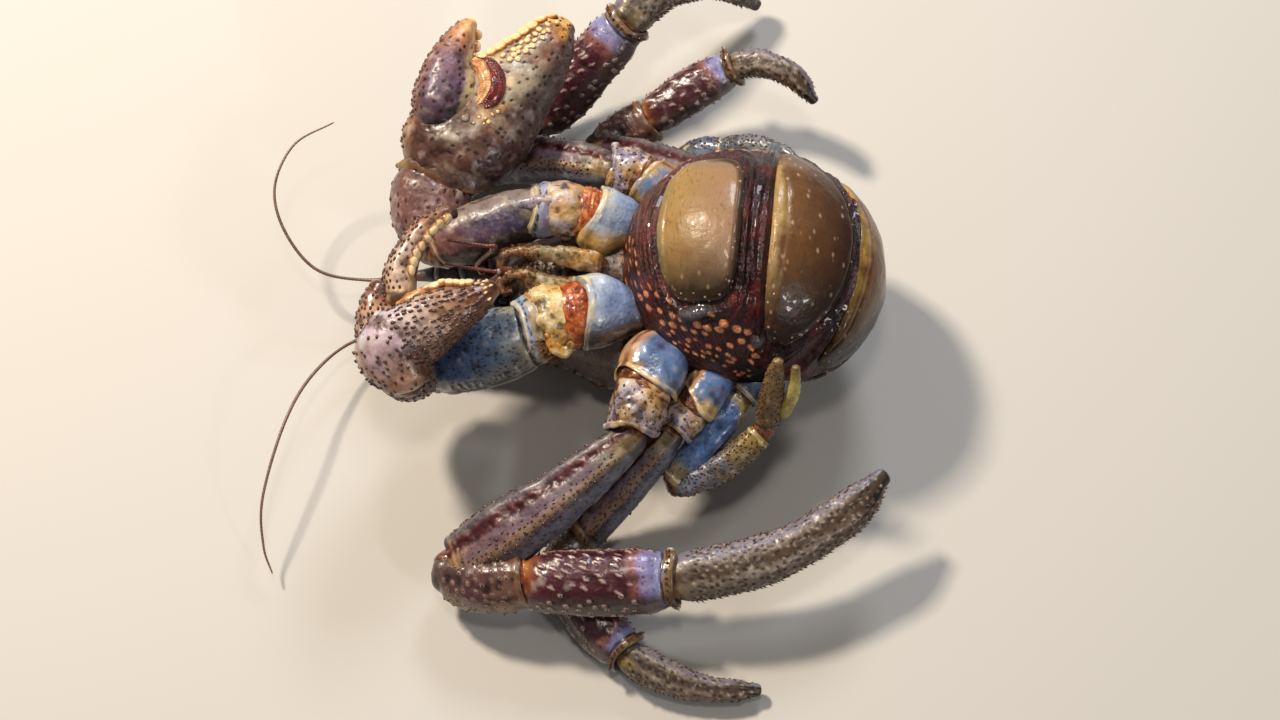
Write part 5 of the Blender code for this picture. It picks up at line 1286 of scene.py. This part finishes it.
ANTENNAE = {
    "antenna_left": [(-46, 12, 27, 5.0, 4.6), (-58, 11, 28, 4.8, 4.4), (-72, 9, 27, 4.0, 3.6),
                     (-84, 9, 24, 2.4, 2.2), (-104, 9, 20, 0.9, 0.9), (-123, 12, 23, 0.85, 0.85),
                     (-135, 25, 30, 0.8, 0.8), (-139, 41, 35, 0.7, 0.7), (-132, 57, 39, 0.6, 0.6),
                     (-117, 65, 42, 0.4, 0.4)],
    "antenna_right": [(-46, -12, 27, 5.0, 4.6), (-58, -12, 27, 4.8, 4.4), (-72, -13, 24, 4.0, 3.6),
                      (-88, -13, 20, 2.4, 2.2), (-108, -14, 15, 0.9, 0.9), (-122, -29, 20, 0.85, 0.85),
                      (-131, -50, 24, 0.8, 0.8), (-138, -78, 20, 0.7, 0.7), (-138, -94, 12, 0.6, 0.6),
                      (-135, -103, 7, 0.4, 0.4)],
}
# ochre, grainy cuticle of the palps; red-brown rods and stalks; grey-brown whips, all with little shine
palp_chitin = chitin("palp_chitin",
                     top=[(0, "#a87830"), (0.2, "#b0843c"), (0.4, "#8c8058"), (0.6, "#94703c"),
                          (1, "#843c1c")], under=[(0, "#6a4a28"), (1, "#54301a")], mottle="#6a3c18",
                     mottled=0.65, rough=0.4, specks=0.6)
rod_chitin = chitin("feeler_rod_chitin", top=[(0, "#54281c"), (1, "#6a2c20")],
                    under=[(0, "#3c1c16"), (1, "#4c2018")], mottle="#7a3c28", mottled=0.3, rough=0.35)
whip_chitin = chitin("whip_chitin",
                     top=[(0, "#5a5a5c"), (0.2, "#4c4a48"), (0.3, "#6a4c3a"), (1, "#7a5a44")],
                     under=[(0, "#4a3c3c"), (1, "#54402f")], mottle="#8f8474", mottled=0.3, rough=0.4)
stalk_chitin = chitin("eye_stalk_chitin", top=[(0, "#7a3424"), (1, "#4c1c18")],
                      under=[(0, "#5c2a20"), (1, "#3c1612")])
# the eye: clear cuticle over dark pigment, a black bead as glossy as glass
cornea, shader = blank("cornea")
facets = add(cornea, "TexVoronoi", {"Vector": add(cornea, "TexCoord", out=3), "Scale": per(0.35)})
bump = add(cornea, "Bump", {"Height": facets, "Strength": 0.05, "Distance": 0.05 * MM})
plug(cornea, shader,
     {"Base Color": "#0b0908", "Normal": bump, "Roughness": 0.06, "IOR": 1.5, "Coat Weight": 1.0})

for number, (node, stations) in enumerate(HEAD.items()):
    seed = 230 + number
    if node.startswith("eye"):
        stalk = Shell(stations, seed, span=(0, 0.6), spacing=0.35,
                      girth=neck(0.1)).lumps((2, 0.12)).settle()
        globe = Shell(stations, seed, span=(0.55, 1.0), spacing=0.3,
                      girth=lambda t: 0.98, square=2.0).settle()
        stand_for(node, [stalk.chunk(stalk_chitin), globe.chunk(cornea)])
    elif node.startswith("antennule"):
        rod = Shell(stations, seed, spacing=0.25, girth=lambda t: 0.8)
        for t in (0.2, 0.62):
            rod.ring(t, 0.6, 0.35)
        rod.height += 0.06 * np.sin(rod.T * rod.length * 5) * ease(0.66, 0.7, rod.T)
        rod.settle()
        stand_for(node, [rod.chunk(rod_chitin)])
    else:
        palp = Shell(stations, seed, spacing=0.35,
                     girth=lambda t: 1 - 0.14 * bell(t, 0.4, 0.03) - 0.14 * bell(t, 0.7, 0.03))
        skins[node] = palp.lumps((3, 0.35), (1.3, 0.12)).settle()
        stand_for(node, [palp.chunk(palp_chitin)])
for number, (node, stations) in enumerate(ANTENNAE.items()):
    whip = Shell(stations, 240 + number, spacing=0.42, square=2.0,
                 girth=lambda t: 1 - 0.24 * ease(0.2, 0.34, t))
    whip.height += 0.05 * np.sin(whip.T * whip.length * TAU / 1.4) * ease(0.22, 0.3, whip.T)
    for t in (0.07, 0.14, 0.2):
        whip.ring(t, 0.9, 0.5).ring(t + 0.01, 0.4, -0.5)
    stand_for(node, [whip.settle(floor=0.0).chunk(whip_chitin)])

# ------------------------------------------------------------------ abdomen
# The soft abdomen is a thick bag of leathery, wet-looking skin, folded forward over the breast, near
# black with salmon dots down its flanks. Four horny plates stiffen its back and slide over each other.
ABDOMEN_CENTRE, ABDOMEN_RADII = np.array([41.0, 0.0, 50.0]), (48.0, 44.2, 38.8)
ABDOMEN_PITCH, ABDOMEN_TWIST = math.radians(16), math.radians(-6)
TERGITES = {                    # front and rear edge, reach, sweeps of both edges (degrees), squareness
    "tergite_5": (30, 70, 39, 0, 0, 4), "tergite_4": (83, 124, 57, 0, -8, 3),
    "tergite_3": (128, 174, 54, 10, 0, 4), "tergite_2": (180, 222, 50, 6, 0, 4),
}
PLATE_LIFT, PLATE_THICKNESS = 1.0, 1.3
BELLY_X, BELLY_Z = 54.0, 50.0           # ahead of and below this corner the bag lies flat on the breast
SAC_LOWEST_Z = 11.5                     # where it meets the back shell


def over_abdomen(angle, reach, height):
    """Points over the abdomen: angle from the front end over the top, reach to the left, in radians."""
    length, width, depth = (radius + height for radius in ABDOMEN_RADII)
    x, z = -length * np.cos(angle) * np.cos(reach), depth * np.sin(angle) * np.cos(reach)
    y = width * np.sin(reach)
    x, z = (x * math.cos(ABDOMEN_PITCH) + z * math.sin(ABDOMEN_PITCH),
            z * math.cos(ABDOMEN_PITCH) - x * math.sin(ABDOMEN_PITCH))
    x, y = (x * math.cos(ABDOMEN_TWIST) - y * math.sin(ABDOMEN_TWIST),
            x * math.sin(ABDOMEN_TWIST) + y * math.cos(ABDOMEN_TWIST))
    return np.stack([x, y, z], -1) + ABDOMEN_CENTRE


def plate_edge(front, rear, reach, front_sweep, rear_sweep, corner, angle, side):
    """How far out a place over the abdomen is on a plate: 0 at its middle, 1 at its rim."""
    across = side / math.radians(reach)
    middle = np.radians((front + rear) / 2 + (front_sweep + rear_sweep) / 2 * across ** 2)
    half = np.radians((rear - front) / 2 + (rear_sweep - front_sweep) / 2 * across ** 2)
    lengthwise = turn_gap(angle, middle) / np.maximum(half, 0.02)
    return (np.abs(lengthwise) ** corner + np.abs(across) ** corner) ** (1 / corner)


# leathery skin, wine-red where thin, with salmon dots and pale wrinkle lines, under a film of water
sac_skin, shader = blank("abdomen_skin")
where = add(sac_skin, "TexCoord", out=3)
spot = add(sac_skin, "SeparateXYZ", {0: add(sac_skin, "Attribute", attribute_name="tint", out=1)}, out=None)
place = add(sac_skin, "Attribute", attribute_name="place", out=1)
cloud = add(sac_skin, "TexNoise", {"Vector": where, "Scale": per(9), "Detail": 4.0})
base = add(sac_skin, "ValToRGB", {"Fac": cloud},
           stops=[(0.3, "#0e0406"), (0.5, "#2e0c10"), (0.72, "#5c1e1c")])
line_scale = add(sac_skin, "Mapping", {"Vector": place, "Scale": (150.0, 9.0, 1.0)})
lines = add(sac_skin, "TexNoise", {"Vector": line_scale, "Scale": 1.0, "Detail": 4.0, "Roughness": 0.7})
streak = add(sac_skin, "MapRange", {"Value": lines, 1: 0.45, 2: 0.7})
streak = add(sac_skin, "Math", {0: streak, 1: spot[1]}, operation="MULTIPLY")
colour = mix(sac_skin, streak, base, "#84503c")
colour = mix(sac_skin, spot[2], colour, "#4c4a50")
edge_noise = add(sac_skin, "TexNoise", {"Vector": where, "Scale": per(1.2), "Detail": 3.0})
salmon = add(sac_skin, "ValToRGB", {"Fac": edge_noise},
             stops=[(0.3, "#b05a34"), (0.5, "#dc8c5c"), (0.75, "#f0bc94")])
colour = mix(sac_skin, spot[0], colour, salmon)
goose_flesh = add(sac_skin, "TexNoise", {"Vector": where, "Scale": per(1.6), "Detail": 5.0})
rise = add(sac_skin, "Math", {0: lines, 1: 0.9, 2: goose_flesh}, operation="MULTIPLY_ADD")
bump = add(sac_skin, "Bump", {"Height": rise, "Strength": 0.9, "Distance": 1.0 * MM})
plug(sac_skin, shader, {"Base Color": colour, "Normal": bump, "Roughness": 0.28, "Specular IOR Level": 0.3,
                        "Coat Weight": 0.3, "Coat Roughness": 0.05})

SAC_STEPS, SAC_COLUMNS = 420, 230
turns = np.linspace(0, TAU, SAC_STEPS, endpoint=False)
sides = np.linspace(-math.pi / 2 + 0.02, math.pi / 2 - 0.02, SAC_COLUMNS)
S, G = np.meshgrid(sides, turns, indexing="ij")         # rows run from right to left, columns go round
bag = over_abdomen(G, S, 0.0)
outward = unit(over_abdomen(G, S, 1.0) - bag)
height = 0.5 * waves(bag, 9, 301) + 0.22 * waves(bag, 3.5, 302)
back_side = ease(-0.15, 0.25, np.sin(G))
ripple = waves(np.stack([G * 7, S * 2.2, 0 * G], -1), 1.0, 305)
for edges in TERGITES.values():
    far = plate_edge(*edges, G, S)
    height -= 0.7 * ease(1.02, 0.9, far)
    folds = 1.5 * bell(far + 0.02 * ripple, 1.14, 0.06) + 1.1 * bell(far - 0.03 * ripple, 1.29, 0.05)
    height += folds * back_side
stripes = waves(np.stack([G * 48, S * 3.0, 0 * G], -1), 1.0, 304)
plain = np.minimum.reduce([ease(1.0, 1.1, plate_edge(*edges, G, S)) for edges in TERGITES.values()])
height += 0.3 * stripes * plain
tint = np.zeros(G.shape + (3,))
tint[..., 1] = ease(0.75, 0.35, np.abs(turn_gap(G, 0.1))) * (0.35 + 0.65 * ease(-0.35, 0.2, S))
tint[..., 2] = 0.25 * ease(0.55, 0.8, S) * back_side
lips = 0 * G
for turn, reach, long in ((0.76, -0.765, 0.17), (1.5, -0.985, 0.08)):     # grey lips at two plates' corners
    lips += ease(1.0, 0.4, np.hypot(turn_gap(G, turn) / long / 1.6, (S - reach - 0.1 * (G - turn)) / 0.075))
height += 1.5 * lips
tint[..., 2] = np.maximum(tint[..., 2], lips * 0.8)
rng = np.random.default_rng(310)
dots = []
for row in range(6):                                    # dots down both flanks, largest near the plates
    for step in range(24):
        turn = 0.1 + 0.14 * (step + 0.5 * (row % 2)) + rng.uniform(-0.035, 0.035)
        reach = 0.56 + 0.36 * (turn - 0.28) + 0.115 * row + rng.uniform(-0.03, 0.03)
        if turn < 1.5 + 0.12 * row and reach < 1.5 and rng.random() < 0.9 - 0.4 * ease(1.0, 1.8, turn):
            size = rng.uniform(0.7, 1.25) * (1.45 if row < 3 else 1.0)
            dots.append((turn, -reach, size, size))
            dots.append((turn, reach + 0.1, size * 0.9, size * 0.9))
for row in range(10):                                   # short dashes over the front end, lying across it
    for step in range(11):
        turn = -0.75 + 0.105 * step + rng.uniform(-0.025, 0.025)
        reach = -0.5 + 0.1 * row + 0.05 * (step % 2) + rng.uniform(-0.02, 0.02)
        if turn < 0.36 - 0.35 * (reach + 0.4) and rng.random() < 0.72 - 0.5 * ease(-0.2, 0.3, reach):
            dots.append((turn, reach, rng.uniform(0.5, 0.8), rng.uniform(1.2, 2.2)))
for turn, reach, wide, long in dots:
    gap_t = turn_gap(G, turn - 0.3 * (S - reach)) * 45 * np.cos(reach) / wide
    gap_s = (S - reach) * 44 / long
    near = (np.abs(gap_t) < 1.3) & (np.abs(gap_s) < 1.3)
    mark = ease(1.0, 0.7, np.sqrt(gap_t[near] ** 2 + gap_s[near] ** 2))
    tint[near, 0] = np.maximum(tint[near, 0], mark)
    height[near] += 0.2 * mark
tint[..., 0] *= plain * (1 - lips)
bag = bag + outward * height[..., None]
low = np.where(bag[..., 0] < BELLY_X, BELLY_Z, BELLY_Z - (bag[..., 0] - BELLY_X) * 6)
bag[..., 2] = np.maximum(bag[..., 2], np.maximum(low, SAC_LOWEST_Z))
points, faces = tube(bag)
stand_for("abdomen",
          [{"points": points, "faces": faces,
            "place": np.vstack([np.stack([G / TAU, S / math.pi, 0 * G], -1).reshape(-1, 3),
                                np.zeros((2, 3))]),
            "tint": np.vstack([tint.reshape(-1, 3), np.zeros((2, 3))]), "wear_and_shading": np.zeros(len(points)),
            "finish": sac_skin}])


def plate_horn(name, front_tone, middle_tone, rear_tone, side_tone, speckle):
    """Horny plate: thin chitin, amber where light, smooth as lacquer, with pale specks and scratches."""
    material, shader = blank(name)
    where = add(material, "TexCoord", out=3)
    split = add(material, "SeparateXYZ", {0: add(material, "Attribute", attribute_name="place", out=1)},
                out=None)
    cloud = add(material, "TexNoise", {"Vector": where, "Scale": per(10), "Detail": 5.0, "Roughness": 0.6})
    drift = add(material, "MapRange", {"Value": cloud, 1: 0.25, 2: 0.75, 3: -0.14, 4: 0.14})
    along = add(material, "Math", {0: split[0], 1: drift}, operation="ADD")
    colour = add(material, "ValToRGB", {"Fac": along},
                 stops=[(0.03, front_tone), (0.16, middle_tone), (0.85, rear_tone)])
    aside = add(material, "Math", {0: split[1], 1: drift}, operation="ADD")
    colour = mix(material, add(material, "MapRange", {"Value": aside, 1: -0.2, 2: -0.8}), colour, side_tone)
    colour = mix(material, add(material, "MapRange", {"Value": aside, 1: 0.72, 2: 1.05, 4: 0.7}), colour,
                 "#645c58")
    stretch = add(material, "Mapping", {"Vector": where, "Scale": (1.0, 0.25, 0.4)})
    scratch = add(material, "TexNoise", {"Vector": stretch, "Scale": per(0.8), "Detail": 3.0})
    colour = mix(material, add(material, "MapRange", {"Value": scratch, 1: 0.58, 2: 0.7, 4: 0.4}), colour,
                 side_tone)
    amber = add(material, "TexNoise", {"Vector": where, "Scale": per(6), "Detail": 6.0, "Roughness": 0.7})
    share = add(material, "MapRange", {"Value": amber, 1: 0.48, 2: 0.7, 4: 0.4})
    ahead = add(material, "MapRange", {"Value": along, 1: 0.75, 2: 0.25})
    share = add(material, "Math", {0: share, 1: ahead}, operation="MULTIPLY")
    colour = mix(material, share, colour, "#845424")
    # the specks are drawn out
    drops = add(material, "Mapping", {"Vector": where, "Scale": (1.0, 0.6, 0.8)})
    stars = add(material, "TexVoronoi", {"Vector": drops, "Scale": per(3.6), "Randomness": 0.9})
    colour = mix(material, add(material, "MapRange", {"Value": stars, 1: 0.22, 2: 0.06, 4: speckle}),
                 colour, "#c8a884")
    ditch = add(material, "MapRange", {"Value": split[2], 1: 0.83, 2: 0.89})
    hind = add(material, "MapRange", {"Value": split[0], 1: 0.3, 2: 0.7, 4: 0.8})
    colour = mix(material, add(material, "Math", {0: ditch, 1: hind}, operation="MULTIPLY"), colour,
                 "#2c1810")
    stars = add(material, "TexVoronoi", {"Vector": where, "Scale": per(2.4)})
    stars = add(material, "MapRange", {"Value": stars, 1: 0.22, 2: 0.12, 4: 0.7})
    belt = add(material, "Math", {0: split[2], 1: 0.86}, operation="SUBTRACT")
    belt = add(material, "MapRange", {"Value": belt, 1: 0.0, 2: 0.02})
    colour = mix(material, add(material, "Math", {0: stars, 1: belt}, operation="MULTIPLY"), colour,
                 "#d8b890")
    ripples = add(material, "TexNoise",
                  {"Vector": where, "Scale": per(1.8), "Detail": 5.0, "Roughness": 0.6})
    rise = add(material, "Math", {0: scratch, 1: 0.15, 2: ripples}, operation="MULTIPLY_ADD")
    bump = add(material, "Bump", {"Height": rise, "Strength": 0.42, "Distance": 0.5 * MM})
    plug(material, shader,
         {"Base Color": colour, "Normal": bump, "Roughness": 0.27, "Specular IOR Level": 0.25,
          "Coat Weight": 0.2, "Coat Roughness": 0.05})
    return material


PLATE_TONES = {
    "tergite_5": ("#8a7c58", "#a0804c", "#94745a", "#342c22", 0.35),
    "tergite_4": ("#a88a58", "#6c4c30", "#382016", "#2a211c", 0.6),
    "tergite_3": ("#b08844", "#6c401c", "#26100a", "#1c1310", 0.45),
    "tergite_2": ("#7c5024", "#3c1c0c", "#1e0c07", "#160d0a", 0.3),
}
half = np.linspace(-1, 1, 97)
U, V = np.meshgrid(half, half, indexing="ij")           # a square of places pressed into a disc
disc = np.stack([U * np.sqrt(1 - V ** 2 / 2), V * np.sqrt(1 - U ** 2 / 2)], -1)
radius = np.linalg.norm(disc, axis=-1)
way = unit(disc + 1e-9)
for number, (name, (front, rear, reach, front_sweep, rear_sweep, corner)) in enumerate(TERGITES.items()):
    swell = 1 / (np.abs(way[..., 0]) ** corner + np.abs(way[..., 1]) ** corner) ** (1 / corner)
    across, lengthwise = disc[..., 0] * swell, disc[..., 1] * swell
    angle = np.radians((front + rear) / 2 + (front_sweep + rear_sweep) / 2 * across ** 2
                       + lengthwise * ((rear - front) / 2 + (rear_sweep - front_sweep) / 2 * across ** 2))
    side = across * math.radians(reach)
    flat = over_abdomen(angle, side, 0.0)
    crown = PLATE_LIFT * 0.4 + (PLATE_THICKNESS + PLATE_LIFT * 0.6) * (1 - radius ** 12) ** 0.6
    hind = ease(-0.3, 0.5, lengthwise)
    crown += (0.2 * bell(radius, 0.93, 0.03) - 0.25 * bell(radius, 0.87, 0.02)) * (0.1 + 0.9 * hind)
    uneven = 0.45 * waves(flat, 12, 320 + number) + 0.22 * waves(flat, 6, 325 + number)
    crown += uneven + 0.1 * waves(flat, 2.5, 330 + number)
    crown -= 0.3 * bell(lengthwise, -0.72, 0.05) * (radius < 0.95)
    top = over_abdomen(angle, side, crown)
    bottom = over_abdomen(angle, side, np.where(radius > 0.995, crown - 0.2, PLATE_LIFT * 0.2))
    size = len(half)
    index = np.arange(size * size).reshape(size, size)
    quads = np.stack([index[:-1, :-1], index[1:, :-1], index[1:, 1:], index[:-1, 1:]], -1).reshape(-1, 4)
    rim = np.r_[index[0, :-1], index[:-1, -1], index[-1, :0:-1], index[:0:-1, 0]]
    after = np.roll(rim, -1)
    wall = np.stack([rim, after, after + size * size, rim + size * size], -1)
    place = np.stack([(lengthwise + 1) / 2, across, radius], -1).reshape(-1, 3)
    stand_for(name,
              [{"points": np.vstack([top.reshape(-1, 3), bottom.reshape(-1, 3)]),
                "faces": np.vstack([quads, quads[:, ::-1] + size * size, wall[:, ::-1]]),
                "place": np.vstack([place, place]), "tint": np.zeros((2 * size * size, 3)),
                "wear_and_shading": np.zeros(2 * size * size),
                "finish": plate_horn(name + "_horn", *PLATE_TONES[name])}])

# ------------------------------------------------------------------ bristles
# Stiff hairs of bare chitin that grow from pits in the shell: dark brushes where joints rub together, short
# tufts on feet, hands and mouth palps, and a fringe along the rim of the back shell.

# a hair is (length, thickness) in mm, twice as thick as the finest real ones, which would not show
BRUSH, TUFT, FUZZ = (3.8, 0.3), (1.7, 0.2), (0.9, 0.16)
STRAY = 0.45                    # how far the hairs of a tuft lean apart
HAIR_POINTS = 7                 # three at the root, three in the middle, the tip
MAP_ROW = 5                     # skins side by side in a row of the OFBake map
MAP_PATCH = 0.003               # width of one tuft on it

# bare, tanned chitin: near black at the root, amber where the tip lets light through
bristle_horn, shader = blank("bristle_horn")
place = add(bristle_horn, "Attribute", attribute_name="place", out=1)
split = add(bristle_horn, "SeparateXYZ", {0: place}, out=None)
cloud = add(bristle_horn, "TexNoise", {"Vector": add(bristle_horn, "TexCoord", out=3), "Scale": per(4.0)})
level = add(bristle_horn, "Math", {0: cloud, 1: 0.7, 2: split[2]}, operation="MULTIPLY_ADD")
tone = add(bristle_horn, "ValToRGB", {"Fac": level},
           stops=[(0.25, "#1e0f09"), (0.8, "#54301a"), (1.0, "#8c5c2c")])
plug(bristle_horn, shader, {"Base Color": tone, "Roughness": 0.42, "IOR": CHITIN_IOR})


def tufts(shell, places, hair, lean, hairs, seed, tile):
    """Tufts on a shell: each hair is a bent, three-sided spike, and each tuft a patch of the map."""
    t, angle = places
    rng = np.random.default_rng(seed)
    every = np.repeat(np.arange(len(t)), hairs)
    points, normal, along, across = (part[every] for part in shell.at(t, angle))
    stray = rng.normal(0, 1, (len(every), 5, 1))            # of its lean (0, 1), length (2) and foot (3, 4)
    out = unit(normal + along * (lean + STRAY * stray[:, 0]) + across * STRAY * stray[:, 1])
    length = hair[0] * np.clip(1 + 0.25 * stray[:, 2], 0.5, 1.6)
    root = points + (along * stray[:, 3] + across * stray[:, 4]) * hair[1] * 1.2 - normal * 0.2
    middle = root + out * length * 0.55
    end = middle + unit(out + along * 0.6 * np.sign(lean) - normal * 0.2) * length * 0.45
    one = unit(np.cross(out, across + 0.01))
    two = np.cross(out, one)
    rings = [centre
             + (one * math.cos(TAU * side / 3) + two * math.sin(TAU * side / 3)) * hair[1] / 2 * share
             for centre, share in ((root, 1.0), (middle, 0.75)) for side in range(3)]
    points = np.stack([*rings, end], 1).reshape(-1, 3)
    faces = np.array([(0, 1, 4, 3), (1, 2, 5, 4), (2, 0, 3, 5), (3, 4, 6, -1), (4, 5, 6, -1), (5, 3, 6, -1),
                      (0, 2, 1, -1)])
    start = HAIR_POINTS * np.arange(len(every))[:, None, None]
    faces = np.where(faces[None] >= 0, faces[None] + start, -1).reshape(-1, 4)
    level = np.tile([0, 0, 0, 0.55, 0.55, 0.55, 1.0], len(every))
    where = np.stack([(tile % MAP_ROW + 0.01 + 0.98 * (angle % TAU) / TAU) / MAP_ROW,
                      (tile // MAP_ROW + 0.01 + 0.98 * t) / MAP_ROW], 1)[np.repeat(every, HAIR_POINTS)]
    sideways = np.tile([-0.5, 0.0, 0.5, -0.4, 0.0, 0.4, 0.0], len(every))
    patch = np.stack([sideways, level - 0.5], 1) * MAP_PATCH
    place = [np.repeat(t[every], HAIR_POINTS), np.repeat(angle[every], HAIR_POINTS) / TAU, level]
    return {"points": points, "faces": faces, "place": np.stack(place, 1),
            "tint": np.zeros((len(points), 3)), "wear_and_shading": np.zeros(len(points)), "finish": bristle_horn,
            "uv": where + patch}


def coat(name, patches):
    """One joined piece of tufts; a patch is (node, places on its skin, hair, lean, hairs in a tuft)."""
    chunks = [tufts(skins[node], places, hair, lean, hairs, 400 + tile, tile)
              for tile, (node, places, hair, lean, hairs) in enumerate(patches)]
    piece = assemble(name, chunks, 180)
    nodes = list(dict.fromkeys(patch[0] for patch in patches))
    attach(piece, "root")
    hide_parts(*nodes)


rng = np.random.default_rng(400)
ball_r, ball_l, breast = skins["claw_right_base"], skins["claw_left_base"], skins["sternum"]
brush_r = ball_r.find([(-35.4 + 1.5 * k, -31.5 - 2.0 * k, 57.0) for k in range(5)]
                      + [(-33, -33, 54), (-30, -36, 53)])
comb_r = ball_r.find([(-41.7 + 1.1 * k, -11.4 + 0.3 * k, 62.0) for k in range(6)])
patches = [
    ("claw_right_base", np.repeat(brush_r, 4, axis=1) + rng.normal(0, 0.02, (2, 28)), BRUSH, 0.5, 9),
    ("claw_right_base", comb_r, TUFT, 0.6, 7),
    ("claw_right_base", ball_r.rows_of(rng, (0.62, 0.82), (0, TAU), 2.6, 4.0, 0.5), FUZZ, 0.6, 3),
    ("claw_left_base", ball_l.rows_of(rng, (0.62, 0.82), (0, TAU), 3.0, 4.4, 0.5), FUZZ, 0.6, 3),
    ("claw_left_base", ball_l.rows_of(rng, (0.6, 0.74), (-0.5, 0.7), 2.0, 1.6, 0.5), TUFT, 0.5, 5),
    ("sternum", breast.rows_of(rng, (0.02, 0.98), (0, math.pi), 2.6, 2.6, 0.5), TUFT, -0.8, 6),
]
for name in (*LEGS, *FOURTH):
    skin = skins[name + "_base"]
    span = (skin.t[skin.body][0] + 0.04, 0.95)
    patches.append((name + "_base", skin.rows_of(rng, span, (0, TAU), 2.6, 3.2, 0.5), FUZZ, 0.8, 4))
coat("base_bristles", patches)

for pair, names in {"leg_bristles": LEGS, "hand_bristles": FOURTH}.items():
    patches = []
    for name, limb in names.items():
        for part in limb:
            if part == "base" or (part == "merus" and pair == "leg_bristles"):
                continue
            node = f"{name}_{part}"
            gap = {"dactyl": 2.3, "propodus": 3.4,
                   "carpus": 3.4}.get(part, 2.4) * (1 if pair == "leg_bristles" else 0.8)
            patches.append((node, skins[node].rows_of(rng, (0.08, 0.95), (0, TAU), gap, gap, 0.45), FUZZ,
                            1.3, 4))
            if part == "propodus":              # a brush at the far rim of the shin
                patches.append((node, (np.full(40, 0.955), rng.uniform(0, TAU, 40)), TUFT, 1.6, 5))
    coat(pair, patches)

patches = []
for node in ("maxilliped_left", "maxilliped_right"):
    patches.append((node, skins[node].rows_of(rng, (0.03, 0.55), (0, TAU), 1.5, 1.8, 0.5), FUZZ, 0.8, 4))
    patches.append((node, skins[node].rows_of(rng, (0.5, 0.98), (0, TAU), 1.1, 1.3, 0.5), TUFT, 0.9, 4))
front = skins["mouth"].rows_of(rng, (0.02, 0.98), (0, math.pi), 1.8, 1.8, 0.5)
coat("mouth_bristles", [*patches, ("mouth", front, BRUSH, 0.6, 5)])

patches = []
for name in ("claw_right", "claw_left"):
    for part, gap in {"palm": 3.8, "dactyl": 3.8, "carpus": 5.0, "merus": 5.0}.items():
        skin = skins[f"{name}_{part}"]
        patches.append((f"{name}_{part}", skin.rows_of(rng, (0.08, 0.97), (0, TAU), gap, gap, 0.45), FUZZ,
                        1.0, 3))
coat("claw_bristles", patches)

edge = [(x, side * 60.0, FLANK_SEAM_Z) for side in (-1, 1) for x in np.linspace(-55, 50, 120)]
fringe_t, fringe_a = back.find(edge)
coat("carapace_fringe", [("shield", (fringe_t + rng.normal(0, 0.004, 240), fringe_a), TUFT, 0.5, 5)])

# ------------------------------------------------------------------ studio
# A plain pale floor and four lamps: a small, warm and strong one for crisp highlights on wet skin and
# polished shell, and weaker ones for its shadows. The camera looks down on the belly from the animal's
# right side.

# matt emulsion in a warm pale grey
floor_paint, shader = blank("floor_paint")
plug(floor_paint, shader, {"Base Color": "#cbc7c0", "Roughness": 0.75})
bpy.ops.mesh.primitive_plane_add(size=12, location=(0, 0, -0.2 * MM))     # just under the part
floor = bpy.context.object
floor.name = "floor"
floor.data.materials.append(floor_paint)

CAMERA = (CRAB_ORIGIN + (0, -316.95, 745.4)) * MM       # 0.75 m from the target, 68 degrees above the floor
TARGET = (CRAB_ORIGIN + (0, -36, 50)) * MM              # beside the breastplate


def aim(obj, place, target):
    """Place an object and turn it to look at a point."""
    away = np.array(target) - np.array(place)
    obj.location = place
    yaw = math.atan2(-away[0], away[1])
    pitch = math.atan2(math.hypot(away[0], away[1]), -away[2])
    obj.rotation_euler = (pitch, 0.0, yaw)


camera = bpy.data.objects.new("camera", bpy.data.cameras.new("camera"))
camera.data.lens = 58.6                 # the crab fills the frame from 0.75 m, with a 36 mm wide sensor
camera.data.sensor_width = 36.0
aim(camera, CAMERA, TARGET)
bpy.context.scene.collection.objects.link(camera)
bpy.context.scene.camera = camera

for name, place, size, power, tone in (
    ("key_light", (-0.6, 0.5, 1.05), 0.15, 19, "#fff0dc"),
    ("window_light", (0.25, 0.95, 0.9), 0.3, 7, "#eef4ff"),
    ("fill_light", (0.9, -0.9, 0.9), 0.14, 3, "#ffffff"),
    ("top_light", (0.0, -0.1, 1.5), 0.16, 3, "#fff6ec"),
):
    lamp = bpy.data.objects.new(name, bpy.data.lights.new(name, "AREA"))
    lamp.data.size, lamp.data.energy, lamp.data.color = size, power, linear(tone)[:3]
    aim(lamp, place, TARGET)
    bpy.context.scene.collection.objects.link(lamp)
world = bpy.data.worlds.new("studio")
world.use_nodes = True
plug(world, world.node_tree.nodes["Background"], {"Color": "#eef0f4", "Strength": 0.13})
bpy.context.scene.world = world
bpy.context.scene.view_settings.view_transform = "Standard"
